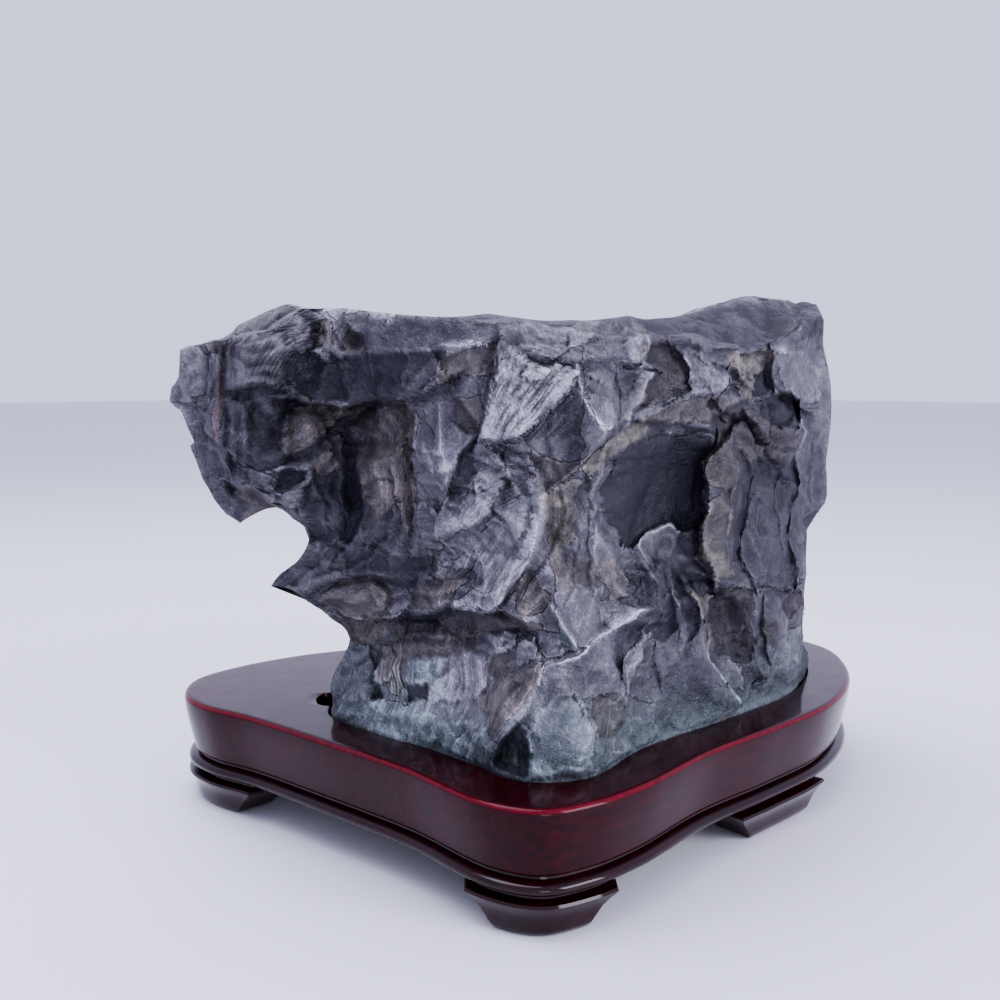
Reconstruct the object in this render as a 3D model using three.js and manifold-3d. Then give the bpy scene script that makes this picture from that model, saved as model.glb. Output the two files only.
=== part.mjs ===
// A decorative stone, a dark craggy rock with an overhanging head, in the seat of a low lacquered wooden stand.
// Millimetres, +Z up. The origin is at the middle of the object's footprint, on the surface that it stands on.
// +X runs along the stand's length. The photograph looks at the corner between the -X and -Y sides.
import * as THREE from "three";
import Module from "manifold-3d";

// Driving dimensions
const FOOT_HEIGHT = 6.0;
const BEAD_BOARD = 2.6;
const TOP_BOARD = 10.0;
const SEAT_DEPTH = 4.0;
const SEAT_CLEARANCE = 0.4;
const STAND_TOP = FOOT_HEIGHT + BEAD_BOARD + TOP_BOARD;
const SEAT_FLOOR = STAND_TOP - SEAT_DEPTH;

// The photograph's view, which places what was traced from it: the eye in millimetres, the rest in pixels.
const EYE = new THREE.Vector3(-145, -136.5, 74.6);
const FOCAL = 1100;
const CENTRE = 500;
const HORIZON = 376;
const TILT = Math.atan((CENTRE - HORIZON) / FOCAL);
const AHEAD = new THREE.Vector3(1, 1, 0).normalize();
const ASIDE = new THREE.Vector3(1, -1, 0).normalize();

// Where a point shows in the photograph.
function pixelOf(p) {
  const from = p.clone().sub(EYE);
  const ahead = from.dot(AHEAD);
  const depth = ahead * Math.cos(TILT) - from.z * Math.sin(TILT);
  const rise = from.z * Math.cos(TILT) + ahead * Math.sin(TILT);
  return [CENTRE + (FOCAL * from.dot(ASIDE)) / depth, CENTRE - (FOCAL * rise) / depth];
}

// The direction in which a pixel of the photograph is seen.
function sightLine(px, py) {
  const up = (CENTRE - py) / FOCAL;
  const level = Math.cos(TILT) + up * Math.sin(TILT);
  return ASIDE.clone()
    .multiplyScalar((px - CENTRE) / FOCAL)
    .addScaledVector(AHEAD, level)
    .setZ(up * Math.cos(TILT) - Math.sin(TILT));
}

// The point seen at a pixel, on the upright plane through two points of the plan.
function seenOn([ax, ay], [bx, by], px, py) {
  const across = new THREE.Vector3(by - ay, ax - bx, 0);
  const ray = sightLine(px, py);
  const reach = across.dot(new THREE.Vector3(ax, ay, 0).sub(EYE).setZ(0)) / across.dot(ray);
  return EYE.clone().addScaledVector(ray, reach);
}

// The height at which a point of the plan shows on a given line of the photograph.
function heightSeen(x, y, py) {
  const ray = sightLine(CENTRE, py);
  const ahead = new THREE.Vector3(x, y, 0).sub(EYE).dot(AHEAD);
  return EYE.z + (ahead / ray.dot(AHEAD)) * ray.z;
}

const mix = THREE.MathUtils.lerp;
const smooth = THREE.MathUtils.smoothstep;

// The value of a line of [place, value, ...] points at a place between them.
function along(points, place) {
  const last = points.length - 1;
  if (place <= points[0][0]) return points[0].slice(1);
  if (place >= points[last][0]) return points[last].slice(1);
  const k = points.findIndex((p) => p[0] > place);
  const share = (place - points[k - 1][0]) / (points[k][0] - points[k - 1][0]);
  return points[k].slice(1).map((v, i) => mix(points[k - 1][i + 1], v, share));
}

// The rock's skyline, and the front edge of its top, as pixels from left to right.
const SKYLINE = [
  [167, 352], [187, 346], [207, 343], [215, 340], [230, 337], [236, 326], [250, 320], [262, 312], [276, 308],
  [288, 304], [300, 308], [330, 309], [370, 311], [420, 315], [440, 317], [465, 316], [487, 313], [500, 316],
  [530, 318], [545, 321], [590, 320], [615, 317], [628, 315], [637, 318], [650, 321], [680, 318], [700, 308],
  [720, 303], [735, 298], [750, 296], [765, 297], [789, 300], [793, 305], [803, 301], [813, 297], [823, 300],
];
const TOP_EDGE = [
  [167, 354], [187, 348], [210, 344], [232, 337], [245, 329], [262, 319], [288, 309], [316, 314], [350, 317],
  [440, 319], [500, 318], [520, 328], [560, 334], [600, 332], [628, 318], [645, 335], [690, 346], [740, 345],
  [775, 343], [800, 325], [823, 316],
];

// The rock's upright edges, in order round it from the near corner. An edge is a list of points from the stand to
// the top: [share of the height, x, y] in millimetres, or [share, pixel x, pixel y] on the upright plane named.
const PROW = [
  [0, 332, 714], [0.06, 331, 692], [0.12, 341, 668], [0.19, 351, 643], [0.23, 347, 629], [0.27, 336, 622],
  [0.31, 321, 607], [0.345, 300, 593], [0.37, 273, 587], [0.385, 271, 584], [0.42, 281, 572], [0.455, 300, 557],
  [0.49, 309, 538], [0.51, 304, 524], [0.525, 291, 513], [0.54, 273, 505], [0.555, 256, 513], [0.57, 240, 522],
  [0.6, 226, 512], [0.68, 204, 480], [0.76, 192, 448], [0.82, 183, 426], [0.87, 167, 403], [0.91, 172, 388],
  [0.94, 179, 374], [0.98, 180, 354], [1, 187, 348],
];
const NEAR_FLANK = [
  [0, 378, 733], [0.1, 380, 690], [0.2, 392, 645], [0.27, 376, 622], [0.33, 348, 603], [0.385, 320, 588],
  [0.44, 332, 568], [0.5, 345, 535], [0.54, 320, 500], [0.58, 292, 494], [0.68, 264, 470], [0.78, 250, 440],
  [0.88, 238, 400], [0.95, 238, 365], [1, 246, 336],
];
const RIGHT_END = [
  [0, 797, 676], [0.05, 800, 655], [0.13, 797, 624], [0.18, 805, 608], [0.23, 804, 590], [0.28, 808, 573],
  [0.32, 806, 560], [0.37, 808, 540], [0.43, 807, 518], [0.446, 815, 514], [0.475, 824, 504], [0.54, 827, 482],
  [0.58, 827, 466], [0.66, 830, 438], [0.77, 831, 400], [0.84, 829, 375], [0.9, 824, 352], [1, 823, 318],
];
const EDGES = [
  { plan: [[0, -37.8, -34.5], [0.35, -38.8, -36], [1, -41.5, -34]] },
  { plan: [[0, -31, -39.6], [0.35, -32, -40], [1, -34, -41]] },
  { plan: [[0, -15, -37.4], [0.5, -15, -38.5], [1, -15, -40]] },
  { plan: [[0, 8, -38.4], [0.5, 8, -40], [1, 8, -40.5]] },
  { plan: [[0, 29, -37.4], [0.5, 31, -38], [1, 31, -38]] },
  { seen: RIGHT_END, from: [48.5, -40], to: [48.5, -20] },
  { plan: [[0, 51, -10], [0.45, 48.5, -11], [0.5, 52, -12], [1, 49, -11]] },
  { plan: [[0, 43, 5], [0.4, 42, 2], [0.7, 43, 1], [1, 39, 1]] },
  { plan: [[0, 14, 16], [0.3, 13, 11], [0.55, 12, 12], [0.8, 11, 7], [1, 10, 4]] },
  { plan: [[0, -15, 17], [0.3, -16, 12], [0.6, -21, 15], [1, -24, 11]] },
  {
    plan: [
      [0, -31, 16], [0.2, -27, 17], [0.3, -28, 18], [0.385, -36, 17], [0.49, -30, 18], [0.53, -33, 20],
      [0.57, -44, 22], [0.7, -49, 23], [0.87, -52, 23], [1, -48, 21],
    ],
  },
  { seen: PROW, from: [-64.9, 14], to: [-38.8, 9.3] },
  { seen: NEAR_FLANK, from: [-60, 2.5], to: [-39.4, -4] },
  { plan: [[0, -38.3, -14], [0.3, -39.5, -10], [0.6, -43, -4], [1, -45, -2]] },
  { plan: [[0, -38.2, -24], [0.5, -40, -20], [1, -43, -18]] },
];
const HIDDEN = [6, 7, 8, 9, 10];
const HIDDEN_DROP = 2.5;
const TOP_MIDDLE = new THREE.Vector2(2, -17);

function edgePoint(index, share) {
  const k = (index + EDGES.length) % EDGES.length;
  const edge = EDGES[k];
  if (edge.seen) return seenOn(edge.from, edge.to, ...along(edge.seen, share));
  const [x, y] = along(edge.plan, share);
  const [topX, topY] = edge.plan.at(-1).slice(1);
  const px = pixelOf(new THREE.Vector3(topX, topY, EYE.z))[0];
  const hidden = HIDDEN.includes(k);
  const top = hidden ? heightSeen(topX, topY, along(SKYLINE, px)[0]) - HIDDEN_DROP
    : heightSeen(topX, topY, along(TOP_EDGE, px)[0]);
  return new THREE.Vector3(x, y, mix(STAND_TOP, top, share));
}

// A point of the rock's side: a smooth line through the upright edges, before any relief.
function sidePoint(place, share) {
  const k = Math.floor(place);
  const points = [-1, 0, 1, 2].map((i) => edgePoint(k + i, share));
  const curve = new THREE.CatmullRomCurve3(points, false, "centripetal");
  return curve.getPoint((1 + place - k) / 3);
}

// A point of the rock's top: it rises from the edge to the skyline, and falls away behind it.
const TOP_RISE = 13;
const TOP_FALL = 0.004;
const TOP_FALLS_FROM = 212;
const ABOUT_TOP = EYE.z + 10;
function topPoint(place, share) {
  const edge = sidePoint(place, 1);
  const x = mix(edge.x, TOP_MIDDLE.x, share);
  const y = mix(edge.y, TOP_MIDDLE.y, share);
  const px = pixelOf(new THREE.Vector3(x, y, ABOUT_TOP))[0];
  const inward = Math.hypot(x - edge.x, y - edge.y);
  const behind = Math.max(0, new THREE.Vector3(x, y, 0).sub(EYE).dot(AHEAD) - TOP_FALLS_FROM);
  const sky = heightSeen(x, y, along(SKYLINE, px)[0]) - TOP_FALL * behind * behind;
  return new THREE.Vector3(x, y, mix(edge.z, sky, smooth(inward, 0, TOP_RISE)));
}

// Relief, as a sculptor's strokes in the photograph's pixels. A stroke is a height in millimetres and a reach in
// pixels on the side over a line, the same on the side under it, and the line. "Under" is below a line that is
// drawn to the right, and left of a line that is drawn downwards.
const stroke = (over, far, under, near, line) => ({ line, over, far, under, near });
const STROKES = [
  // The head
  stroke(-1.2, 16, -2.2, 12, [[226, 352], [224, 400], [228, 450], [234, 488]]),
  stroke(2, 40, -3.5, 60, [[240, 388], [262, 384], [282, 390], [296, 400]]),
  stroke(1.8, 26, -1.2, 24, [[232, 486], [256, 490], [278, 503], [290, 514]]),
  stroke(1.2, 40, -1.5, 26, [[316, 316], [316, 345], [330, 352]]),
  // The beam along the top, and the niche below it
  stroke(2.4, 44, 2.2, 44, [[322, 352], [360, 354], [410, 352], [470, 344], [500, 340]]),
  stroke(2.8, 46, -5, 130, [[288, 400], [345, 407], [372, 401], [405, 400], [430, 391], [448, 380]]),
  stroke(2.4, 60, -3, 10, [[402, 400], [416, 410], [418, 440], [413, 490], [410, 548]]),
  stroke(-2.2, 12, -1.5, 14, [[372, 402], [336, 430], [288, 458]]),
  stroke(-2.5, 14, -2.5, 14, [[346, 440], [352, 500], [344, 556]]),
  // The ledges of the left face
  stroke(2.2, 34, -2.5, 44, [[300, 592], [330, 583], [352, 577], [430, 578]]),
  stroke(2.8, 44, -3.8, 46,
    [[384, 622], [402, 614], [430, 617], [448, 608], [480, 616], [505, 608], [522, 622]]),
  stroke(-1.5, 30, 1.5, 40, [[473, 440], [460, 456], [452, 488]]),
  stroke(-1.2, 26, 1.6, 34, [[503, 494], [498, 512], [478, 526], [450, 534]]),
  stroke(-1.5, 36, 1.8, 44, [[545, 494], [548, 520], [538, 548], [518, 578], [500, 604]]),
  stroke(-1.8, 9, -1.8, 9, [[374, 655], [376, 694]]),
  stroke(-1, 12, -1, 12, [[409, 662], [407, 700]]),
  stroke(0.6, 22, 1.8, 40, [[541, 666], [540, 682], [530, 706], [506, 736], [495, 752]]),
  // The combed wedge and the facets of the upper middle
  stroke(2.6, 90, -1.2, 24, [[498, 345], [498, 375], [490, 400], [478, 437]]),
  stroke(-1.8, 40, 0, 20, [[578, 370], [560, 400], [546, 416], [520, 435], [498, 441]]),
  stroke(1.8, 36, -1, 40, [[572, 362], [600, 361], [628, 359], [645, 368]]),
  stroke(1.2, 24, 1.2, 20, [[580, 372], [582, 400], [590, 416], [604, 432], [586, 456], [578, 474]]),
  stroke(1.6, 22, 1.6, 34, [[628, 316], [632, 345], [645, 368]]),
  stroke(-3.2, 46, 1.6, 34, [[646, 344], [646, 366], [640, 400], [630, 420], [604, 434], [590, 452]]),
  // The dark recess and the pillars on its right
  stroke(1.5, 30, -3, 90, [[640, 421], [672, 424], [704, 429], [724, 412], [742, 402]]),
  stroke(-3, 60, 2, 30, [[604, 462], [608, 500], [612, 540], [620, 574]]),
  stroke(3.6, 30, -3, 80, [[738, 430], [706, 458], [711, 480], [702, 510], [703, 550], [712, 580]]),
  stroke(-1.6, 14, -1, 10, [[733, 486], [724, 516], [730, 580]]),
  stroke(2.6, 40, -1.6, 14, [[752, 484], [744, 520], [743, 556], [750, 586]]),
  stroke(2, 18, -1.6, 14, [[800, 408], [796, 440], [796, 480], [788, 510], [787, 550], [792, 584]]),
  stroke(1.4, 20, -3.2, 32, [[765, 400], [784, 394], [798, 404]]),
  stroke(1.2, 34, 0.4, 24, [[645, 344], [668, 340], [700, 351], [740, 346], [774, 352]]),
  stroke(1.6, 40, -1.6, 18, [[774, 352], [776, 384], [800, 406]]),
  // The skirt
  stroke(1.8, 40, 1.6, 30, [[540, 664], [562, 662], [582, 653], [608, 634], [620, 618]]),
  stroke(-1.8, 12, -1.4, 14, [[608, 634], [614, 660], [624, 712]]),
  stroke(0.4, 24, 1.6, 18, [[642, 560], [642, 640], [630, 676], [626, 712]]),
  stroke(-1.4, 20, 1.2, 10, [[678, 574], [678, 612], [684, 650]]),
  stroke(-2.4, 44, 1.8, 26, [[697, 594], [704, 622], [712, 656], [724, 684], [742, 702]]),
  stroke(-3, 30, 0.6, 12, [[520, 722], [504, 742], [497, 760]]),
];
const DENTS = [
  { at: [266, 428], size: [26, 40], rise: -4 },
  { at: [262, 352], size: [30, 30], rise: 1.6 },
  { at: [285, 476], size: [22, 12], rise: -3 },
  { at: [302, 432], size: [26, 26], rise: 2 },
  { at: [386, 470], size: [30, 74], rise: 4.4 },
  { at: [362, 600], size: [30, 26], rise: 2 },
  { at: [612, 398], size: [34, 34], rise: -2 },
  { at: [655, 492], size: [54, 80], rise: -5 },
  { at: [728, 452], size: [22, 34], rise: 2 },
  { at: [770, 458], size: [28, 26], rise: 2.4 },
  { at: [767, 536], size: [22, 52], rise: 2 },
  { at: [575, 612], size: [34, 34], rise: 1.4 },
  { at: [582, 724], size: [40, 50], rise: 1.6 },
  { at: [692, 670], size: [40, 50], rise: 1.4 },
  { at: [780, 640], size: [20, 44], rise: 1.6 },
  { at: [440, 700], size: [90, 46], rise: 1.6 },
];
const SHARPNESS = 14;
const STROKE_WEIGHT = 1.4;
const ENDS_FADE = 24;
const DENT_ROUNDNESS = 1.5;

// How far a pixel is from a line, on which side, and how far past its ends.
function offsetFrom(line, px, py) {
  let best = { gap: Infinity };
  for (let i = 0; i + 1 < line.length; i++) {
    const [ax, ay] = line[i];
    const [bx, by] = line[i + 1];
    const length = (bx - ax) ** 2 + (by - ay) ** 2;
    const share = ((px - ax) * (bx - ax) + (py - ay) * (by - ay)) / length;
    const held = Math.min(1, Math.max(0, share));
    const gap = Math.hypot(px - mix(ax, bx, held), py - mix(ay, by, held));
    if (gap >= best.gap) continue;
    const past = (i === 0 && share < 0) || (i + 2 === line.length && share > 1) ? gap : 0;
    const side = Math.sign((bx - ax) * (py - ay) - (by - ay) * (px - ax));
    best = { gap, side, past };
  }
  return best;
}

function relief(px, py) {
  let rise = 0;
  for (const { line, over, far, under, near } of STROKES) {
    const { gap, side, past } = offsetFrom(line, px, py);
    const below = smooth(side * gap, -SHARPNESS / 2, SHARPNESS / 2);
    const fade = 1 - smooth(past, 0, ENDS_FADE);
    const high = over * Math.max(0, 1 - gap / far);
    const low = under * Math.max(0, 1 - gap / near);
    rise += fade * mix(high, low, below);
  }
  for (const { at, size, rise: height } of DENTS) {
    const out = ((px - at[0]) / size[0]) ** 2 + ((py - at[1]) / size[1]) ** 2;
    rise += height * Math.max(0, 1 - out) ** DENT_ROUNDNESS;
  }
  return STROKE_WEIGHT * rise;
}

// Natural breakage: folded planes in several directions, which meet in creases.
const FOLDS = [
  { way: [0.9, 0.3, 0.2], length: 31, height: 1.3, start: 0.1 },
  { way: [-0.4, 0.8, 0.45], length: 25, height: 1.1, start: 0.45 },
  { way: [0.3, -0.5, 0.8], length: 21, height: 1, start: 0.7 },
  { way: [0.7, 0.7, -0.15], length: 15, height: 0.7, start: 0.3 },
  { way: [-0.75, 0.5, 0.45], length: 11.5, height: 0.5, start: 0.85 },
];
const WARP = { length: 17, share: 0.32, phases: 9 };

function breakage(p) {
  let sum = 0;
  for (const { way, length, height, start } of FOLDS) {
    const [a, b, c] = way;
    const bend = Math.sin((b * p.x + c * p.y + a * p.z) / (WARP.length / (2 * Math.PI)) + start * WARP.phases);
    const turn = (a * p.x + b * p.y + c * p.z) / length + start + WARP.share * bend;
    sum += height * (4 * Math.abs(turn - Math.floor(turn) - 0.5) - 1);
  }
  return sum;
}

// How much a point shows its breakage: little where the photograph's own forms lead, more on the sides it hides.
// The ranges are cosines between the surface and the line to the eye: strokes fade in over one, breakage out.
const SHOWN_BREAKAGE = 0.3;
const HIDDEN_BREAKAGE = 1.15;
const STROKES_FADE_IN = [0.02, 0.3];
const BREAKAGE_FADES_OUT = [-0.35, 0.15];

// A ring of the mesh for every share of the height, then for every share of the way in over the top.
const SPAN_COLUMNS = 7;
const SIDE_ROWS = 26;
const TOP_ROWS = 6;
const FULL_RELIEF_ABOVE = 5;

const columnPlaces = () => Array.from({ length: EDGES.length * SPAN_COLUMNS }, (_, i) => i / SPAN_COLUMNS);

function rockGeometry() {
  const places = columnPlaces();
  const foot = places.map((place) => sidePoint(place, 0).setZ(SEAT_FLOOR));
  const rings = [foot];
  for (let j = 0; j <= SIDE_ROWS; j++) rings.push(places.map((place) => sidePoint(place, j / SIDE_ROWS)));
  for (let j = 1; j <= TOP_ROWS; j++) rings.push(places.map((place) => topPoint(place, j / (TOP_ROWS + 1))));
  rings[1].forEach((p) => p.setZ(STAND_TOP));
  const columns = places.length;
  const points = rings.flat();
  const under = new THREE.Vector3(TOP_MIDDLE.x, TOP_MIDDLE.y, SEAT_FLOOR);
  points.push(under, topPoint(0, 1));
  const index = [];
  for (let j = 0; j + 1 < rings.length; j++)
    for (let i = 0; i < columns; i++) {
      const a = j * columns + i;
      const b = j * columns + ((i + 1) % columns);
      index.push(a, b, b + columns, a, b + columns, a + columns);
    }
  const lastRing = (rings.length - 1) * columns;
  for (let i = 0; i < columns; i++) {
    const next = (i + 1) % columns;
    index.push(points.length - 2, next, i);
    index.push(points.length - 1, lastRing + i, lastRing + next);
  }
  const geometry = new THREE.BufferGeometry().setFromPoints(points);
  geometry.setIndex(index);
  geometry.computeVertexNormals();
  const normals = geometry.getAttribute("normal");
  points.forEach((p, i) => {
    const normal = new THREE.Vector3().fromBufferAttribute(normals, i);
    const toEye = EYE.clone().sub(p).normalize();
    const facing = normal.dot(toEye);
    const seen = smooth(facing, ...STROKES_FADE_IN);
    const clear = smooth(p.z, STAND_TOP, STAND_TOP + FULL_RELIEF_ABOVE);
    const crag = breakage(p) * mix(HIDDEN_BREAKAGE, SHOWN_BREAKAGE, smooth(facing, ...BREAKAGE_FADES_OUT));
    const [px, py] = pixelOf(p);
    const carved = p.clone().addScaledVector(toEye, relief(px, py) * seen * clear);
    carved.addScaledVector(normal, crag * clear);
    geometry.getAttribute("position").setXYZ(i, carved.x, carved.y, carved.z);
  });
  geometry.deleteAttribute("normal");
  return geometry;
}

// The stand's outline, traced where it shows and completed in like waves behind the rock.
const OUTLINE = new THREE.CatmullRomCurve3(
  [
    [-47.4, -36], [-44, -43.4], [-37, -46.4], [-27, -47.3], [-9, -45.9], [8, -46.7], [25, -46.5], [40, -42.4],
    [53, -34.8], [61.4, -26], [64.5, -12], [63.4, 4], [64.3, 20], [60.3, 34], [50, 43.4], [36, 46.8], [20, 44.6],
    [4, 42], [-8, 42.6], [-19, 46], [-33, 47.4], [-44, 45], [-50.4, 37], [-51.6, 29], [-49.6, 18], [-48, 0],
    [-46.8, -18],
  ].map(([x, y]) => new THREE.Vector3(x, y, 0)),
  true,
);
const OUTLINE_POINTS = 64;

// Points of a closed plan curve, moved outwards by an amount that may change round it.
function offsetRing(curve, count, out, z, from = 0, to = 1) {
  const closed = from === 0 && to === 1;
  return Array.from({ length: count }, (_, i) => {
    const place = mix(from, to, i / (closed ? count : count - 1));
    const at = curve.getPointAt(((place % 1) + 1) % 1);
    const tangent = curve.getTangentAt(((place % 1) + 1) % 1);
    return new THREE.Vector3(at.x + tangent.y * out, at.y - tangent.x * out, z);
  });
}

// A closed solid through rings of points, one above the other and all turning anticlockwise.
function stackRings(rings) {
  const count = rings[0].length;
  const index = [];
  for (let j = 0; j + 1 < rings.length; j++)
    for (let i = 0; i < count; i++) {
      const a = j * count + i;
      const b = j * count + ((i + 1) % count);
      index.push(a, b, b + count, a, b + count, a + count);
    }
  const last = (rings.length - 1) * count;
  const flat = (ring) => THREE.ShapeUtils.triangulateShape(ring.map((p) => new THREE.Vector2(p.x, p.y)), []);
  for (const [a, b, c] of flat(rings[0])) index.push(a, c, b);
  for (const [a, b, c] of flat(rings.at(-1))) index.push(last + a, last + b, last + c);
  const geometry = new THREE.BufferGeometry().setFromPoints(rings.flat());
  geometry.setIndex(index);
  return geometry;
}

// Profiles are [height above the piece's bottom, outwards from the outline] in millimetres.
const TOP_BOARD_PROFILE = [[0, -1.9], [0.6, -1.6], [5, -0.5], [9.2, 0], [9.8, -0.2], [TOP_BOARD, -0.8]];
const BEAD_PROFILE = [[0, -2.6], [0.5, -1.4], [1.2, -0.9], [1.8, -1.3], [2, -2.4], [BEAD_BOARD, -2.4]];

function board(profile, bottom) {
  return stackRings(profile.map(([up, out]) => offsetRing(OUTLINE, OUTLINE_POINTS, out, bottom + up)));
}

const wasm = await Module();
wasm.setup();

function toSolid(geometry) {
  const vertProperties = new Float32Array(geometry.getAttribute("position").array);
  return new wasm.Manifold(
    new wasm.Mesh({ numProp: 3, vertProperties, triVerts: new Uint32Array(geometry.index.array) }),
  );
}

function toGeometry(solid) {
  const mesh = solid.getMesh();
  return new THREE.BufferGeometry()
    .setAttribute("position", new THREE.BufferAttribute(new Float32Array(mesh.vertProperties), 3))
    .setIndex(new THREE.BufferAttribute(new Uint32Array(mesh.triVerts), 1));
}

// The carved seat: the rock's own foot with a little room round it, and the slip of the chisel at its far left.
const SEAT_SLIP = { at: [-33.6, 16.6], size: [4.2, 2.6], turn: 0.9 };
const SLIP_POINTS = 14;
const CUT_ABOVE = 2;

function seatCutters() {
  const foot = columnPlaces().map((place) => sidePoint(place, 0).setZ(0));
  const grown = foot.map((p, i) => {
    const before = foot[(i + foot.length - 1) % foot.length];
    const after = foot[(i + 1) % foot.length];
    const way = after.clone().sub(before).normalize();
    return new THREE.Vector3(p.x + way.y * SEAT_CLEARANCE, p.y - way.x * SEAT_CLEARANCE, 0);
  });
  const slip = new THREE.EllipseCurve(...SEAT_SLIP.at, ...SEAT_SLIP.size, 0, 2 * Math.PI, false, SEAT_SLIP.turn);
  const slipRing = slip.getPoints(SLIP_POINTS).slice(0, SLIP_POINTS);
  const heights = [SEAT_FLOOR, STAND_TOP + CUT_ABOVE];
  return [grown, slipRing].map((ring) =>
    stackRings(heights.map((z) => ring.map((p) => new THREE.Vector3(p.x, p.y, z)))),
  );
}

// Feet: each follows the outline for a stretch, with a lip below the bead, and narrows towards the ground.
const FEET = { front: 0.022, right_front: 0.175, right_end: 0.36, back: 0.585, left: 0.82 };
const FOOT_STRETCH = 0.034;
const FOOT_DEPTH = 9;
const FOOT_PROFILE = [
  { up: 0, out: -2.2, wide: 0.64 },
  { up: 0.7, out: -1.8, wide: 0.68 },
  { up: 2.6, out: -1.7, wide: 0.8 },
  { up: 4.2, out: -1, wide: 0.96 },
  { up: 4.9, out: -0.5, wide: 1 },
  { up: 5.4, out: -0.8, wide: 0.99 },
  { up: FOOT_HEIGHT, out: -2.4, wide: 0.94 },
];
const FOOT_ARC = 9;

function foot(place) {
  const inward = OUTLINE.getTangentAt(place).applyAxisAngle(new THREE.Vector3(0, 0, 1), Math.PI / 2);
  return stackRings(
    FOOT_PROFILE.map(({ up, out, wide }) => {
      const half = FOOT_STRETCH * wide;
      const outer = offsetRing(OUTLINE, FOOT_ARC, out, up, place - half, place + half);
      const inner = [outer.at(-1), outer[0]].map((p) => p.clone().addScaledVector(inward, FOOT_DEPTH + out));
      return [...outer, ...inner];
    }),
  );
}

const stoneGrey = new THREE.MeshStandardMaterial({ color: 0x5a5a62, roughness: 0.78, metalness: 0 });
const lacquer = new THREE.MeshStandardMaterial({ color: 0x3a0f16, roughness: 0.22, metalness: 0 });
const darkLacquer = new THREE.MeshStandardMaterial({ color: 0x1c0a10, roughness: 0.25, metalness: 0 });

const object = new THREE.Group();

function place(name, geometry, material) {
  const mesh = new THREE.Mesh(geometry, material);
  mesh.name = name;
  object.add(mesh);
}

const [seat, slip] = seatCutters().map(toSolid);
const topBoard = toSolid(board(TOP_BOARD_PROFILE, FOOT_HEIGHT + BEAD_BOARD)).subtract(seat).subtract(slip);

place("stone", rockGeometry(), stoneGrey);
place("stand_top_board", toGeometry(topBoard), lacquer);
place("stand_bead_board", board(BEAD_PROFILE, FOOT_HEIGHT), darkLacquer);
for (const [name, at] of Object.entries(FEET)) place(`foot_${name}`, foot(at), darkLacquer);

export default object;
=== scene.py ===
import math

import bmesh
import bpy
import numpy as np
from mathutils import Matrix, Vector, kdtree, noise


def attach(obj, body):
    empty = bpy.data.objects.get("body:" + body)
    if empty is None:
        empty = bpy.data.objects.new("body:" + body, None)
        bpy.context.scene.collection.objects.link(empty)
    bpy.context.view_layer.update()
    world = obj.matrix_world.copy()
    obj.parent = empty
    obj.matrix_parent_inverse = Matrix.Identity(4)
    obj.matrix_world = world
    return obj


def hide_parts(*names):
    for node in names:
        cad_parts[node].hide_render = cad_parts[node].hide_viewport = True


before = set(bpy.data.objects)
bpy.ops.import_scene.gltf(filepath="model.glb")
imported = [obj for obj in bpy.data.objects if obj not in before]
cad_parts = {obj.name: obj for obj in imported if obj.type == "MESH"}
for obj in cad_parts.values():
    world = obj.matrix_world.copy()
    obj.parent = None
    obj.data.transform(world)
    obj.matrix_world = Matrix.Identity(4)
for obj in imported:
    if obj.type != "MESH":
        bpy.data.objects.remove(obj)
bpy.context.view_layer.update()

mm = 0.001

# the photograph's view, in millimetres and pixels, which places everything traced from it
photoView = {"eye": (-145.0, -136.5, 74.6), "focal": 1100.0, "centre": 500.0, "horizon": 376.0}
eye = np.array(photoView["eye"])
tilt = math.atan((photoView["centre"] - photoView["horizon"]) / photoView["focal"])
ahead = np.array([1.0, 1.0, 0.0]) / math.sqrt(2)
aside = np.array([1.0, -1.0, 0.0]) / math.sqrt(2)


def pixelsOf(points):  # where points show in the photograph
    away = points - eye
    forward = away @ ahead
    depth = forward * math.cos(tilt) - away[..., 2] * math.sin(tilt)
    rise = away[..., 2] * math.cos(tilt) + forward * math.sin(tilt)
    scale = photoView["focal"] / depth
    return photoView["centre"] + scale * (away @ aside), photoView["centre"] - scale * rise


def sightLines(px, py):  # the directions in which pixels are seen
    up = (photoView["centre"] - py) / photoView["focal"]
    level = math.cos(tilt) + up * math.sin(tilt)
    side = (px - photoView["centre"]) / photoView["focal"]
    rays = side[..., None] * aside + level[..., None] * ahead
    rays[..., 2] = up * math.cos(tilt) - math.sin(tilt)
    return rays


def seenOn(start, end, px, py):  # points seen on the upright plane through two points of the plan
    across = np.array([end[1] - start[1], start[0] - end[0], 0.0])
    rays = sightLines(px, py)
    reach = (across @ (np.array([*start, 0.0]) - eye * [1, 1, 0])) / (rays @ across)
    return eye + rays * reach[..., None]


def heightsSeen(x, y, py):  # the height at which points of the plan show on a line of the photograph
    rays = sightLines(np.full_like(py, photoView["centre"]), py)
    forward = (x - eye[0]) * ahead[0] + (y - eye[1]) * ahead[1]
    return eye[2] + forward / (rays @ ahead) * rays[..., 2]


def smooth(value, low, high):
    t = np.clip((value - low) / (high - low), 0, 1)
    return t * t * (3 - 2 * t)


def column(points, k):
    return np.array([p[k] for p in points], float)


def along(points, place):  # the values of a line of [place, value, ...] points between them
    return [np.interp(place, column(points, 0), column(points, k)) for k in range(1, len(points[0]))]


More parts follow.
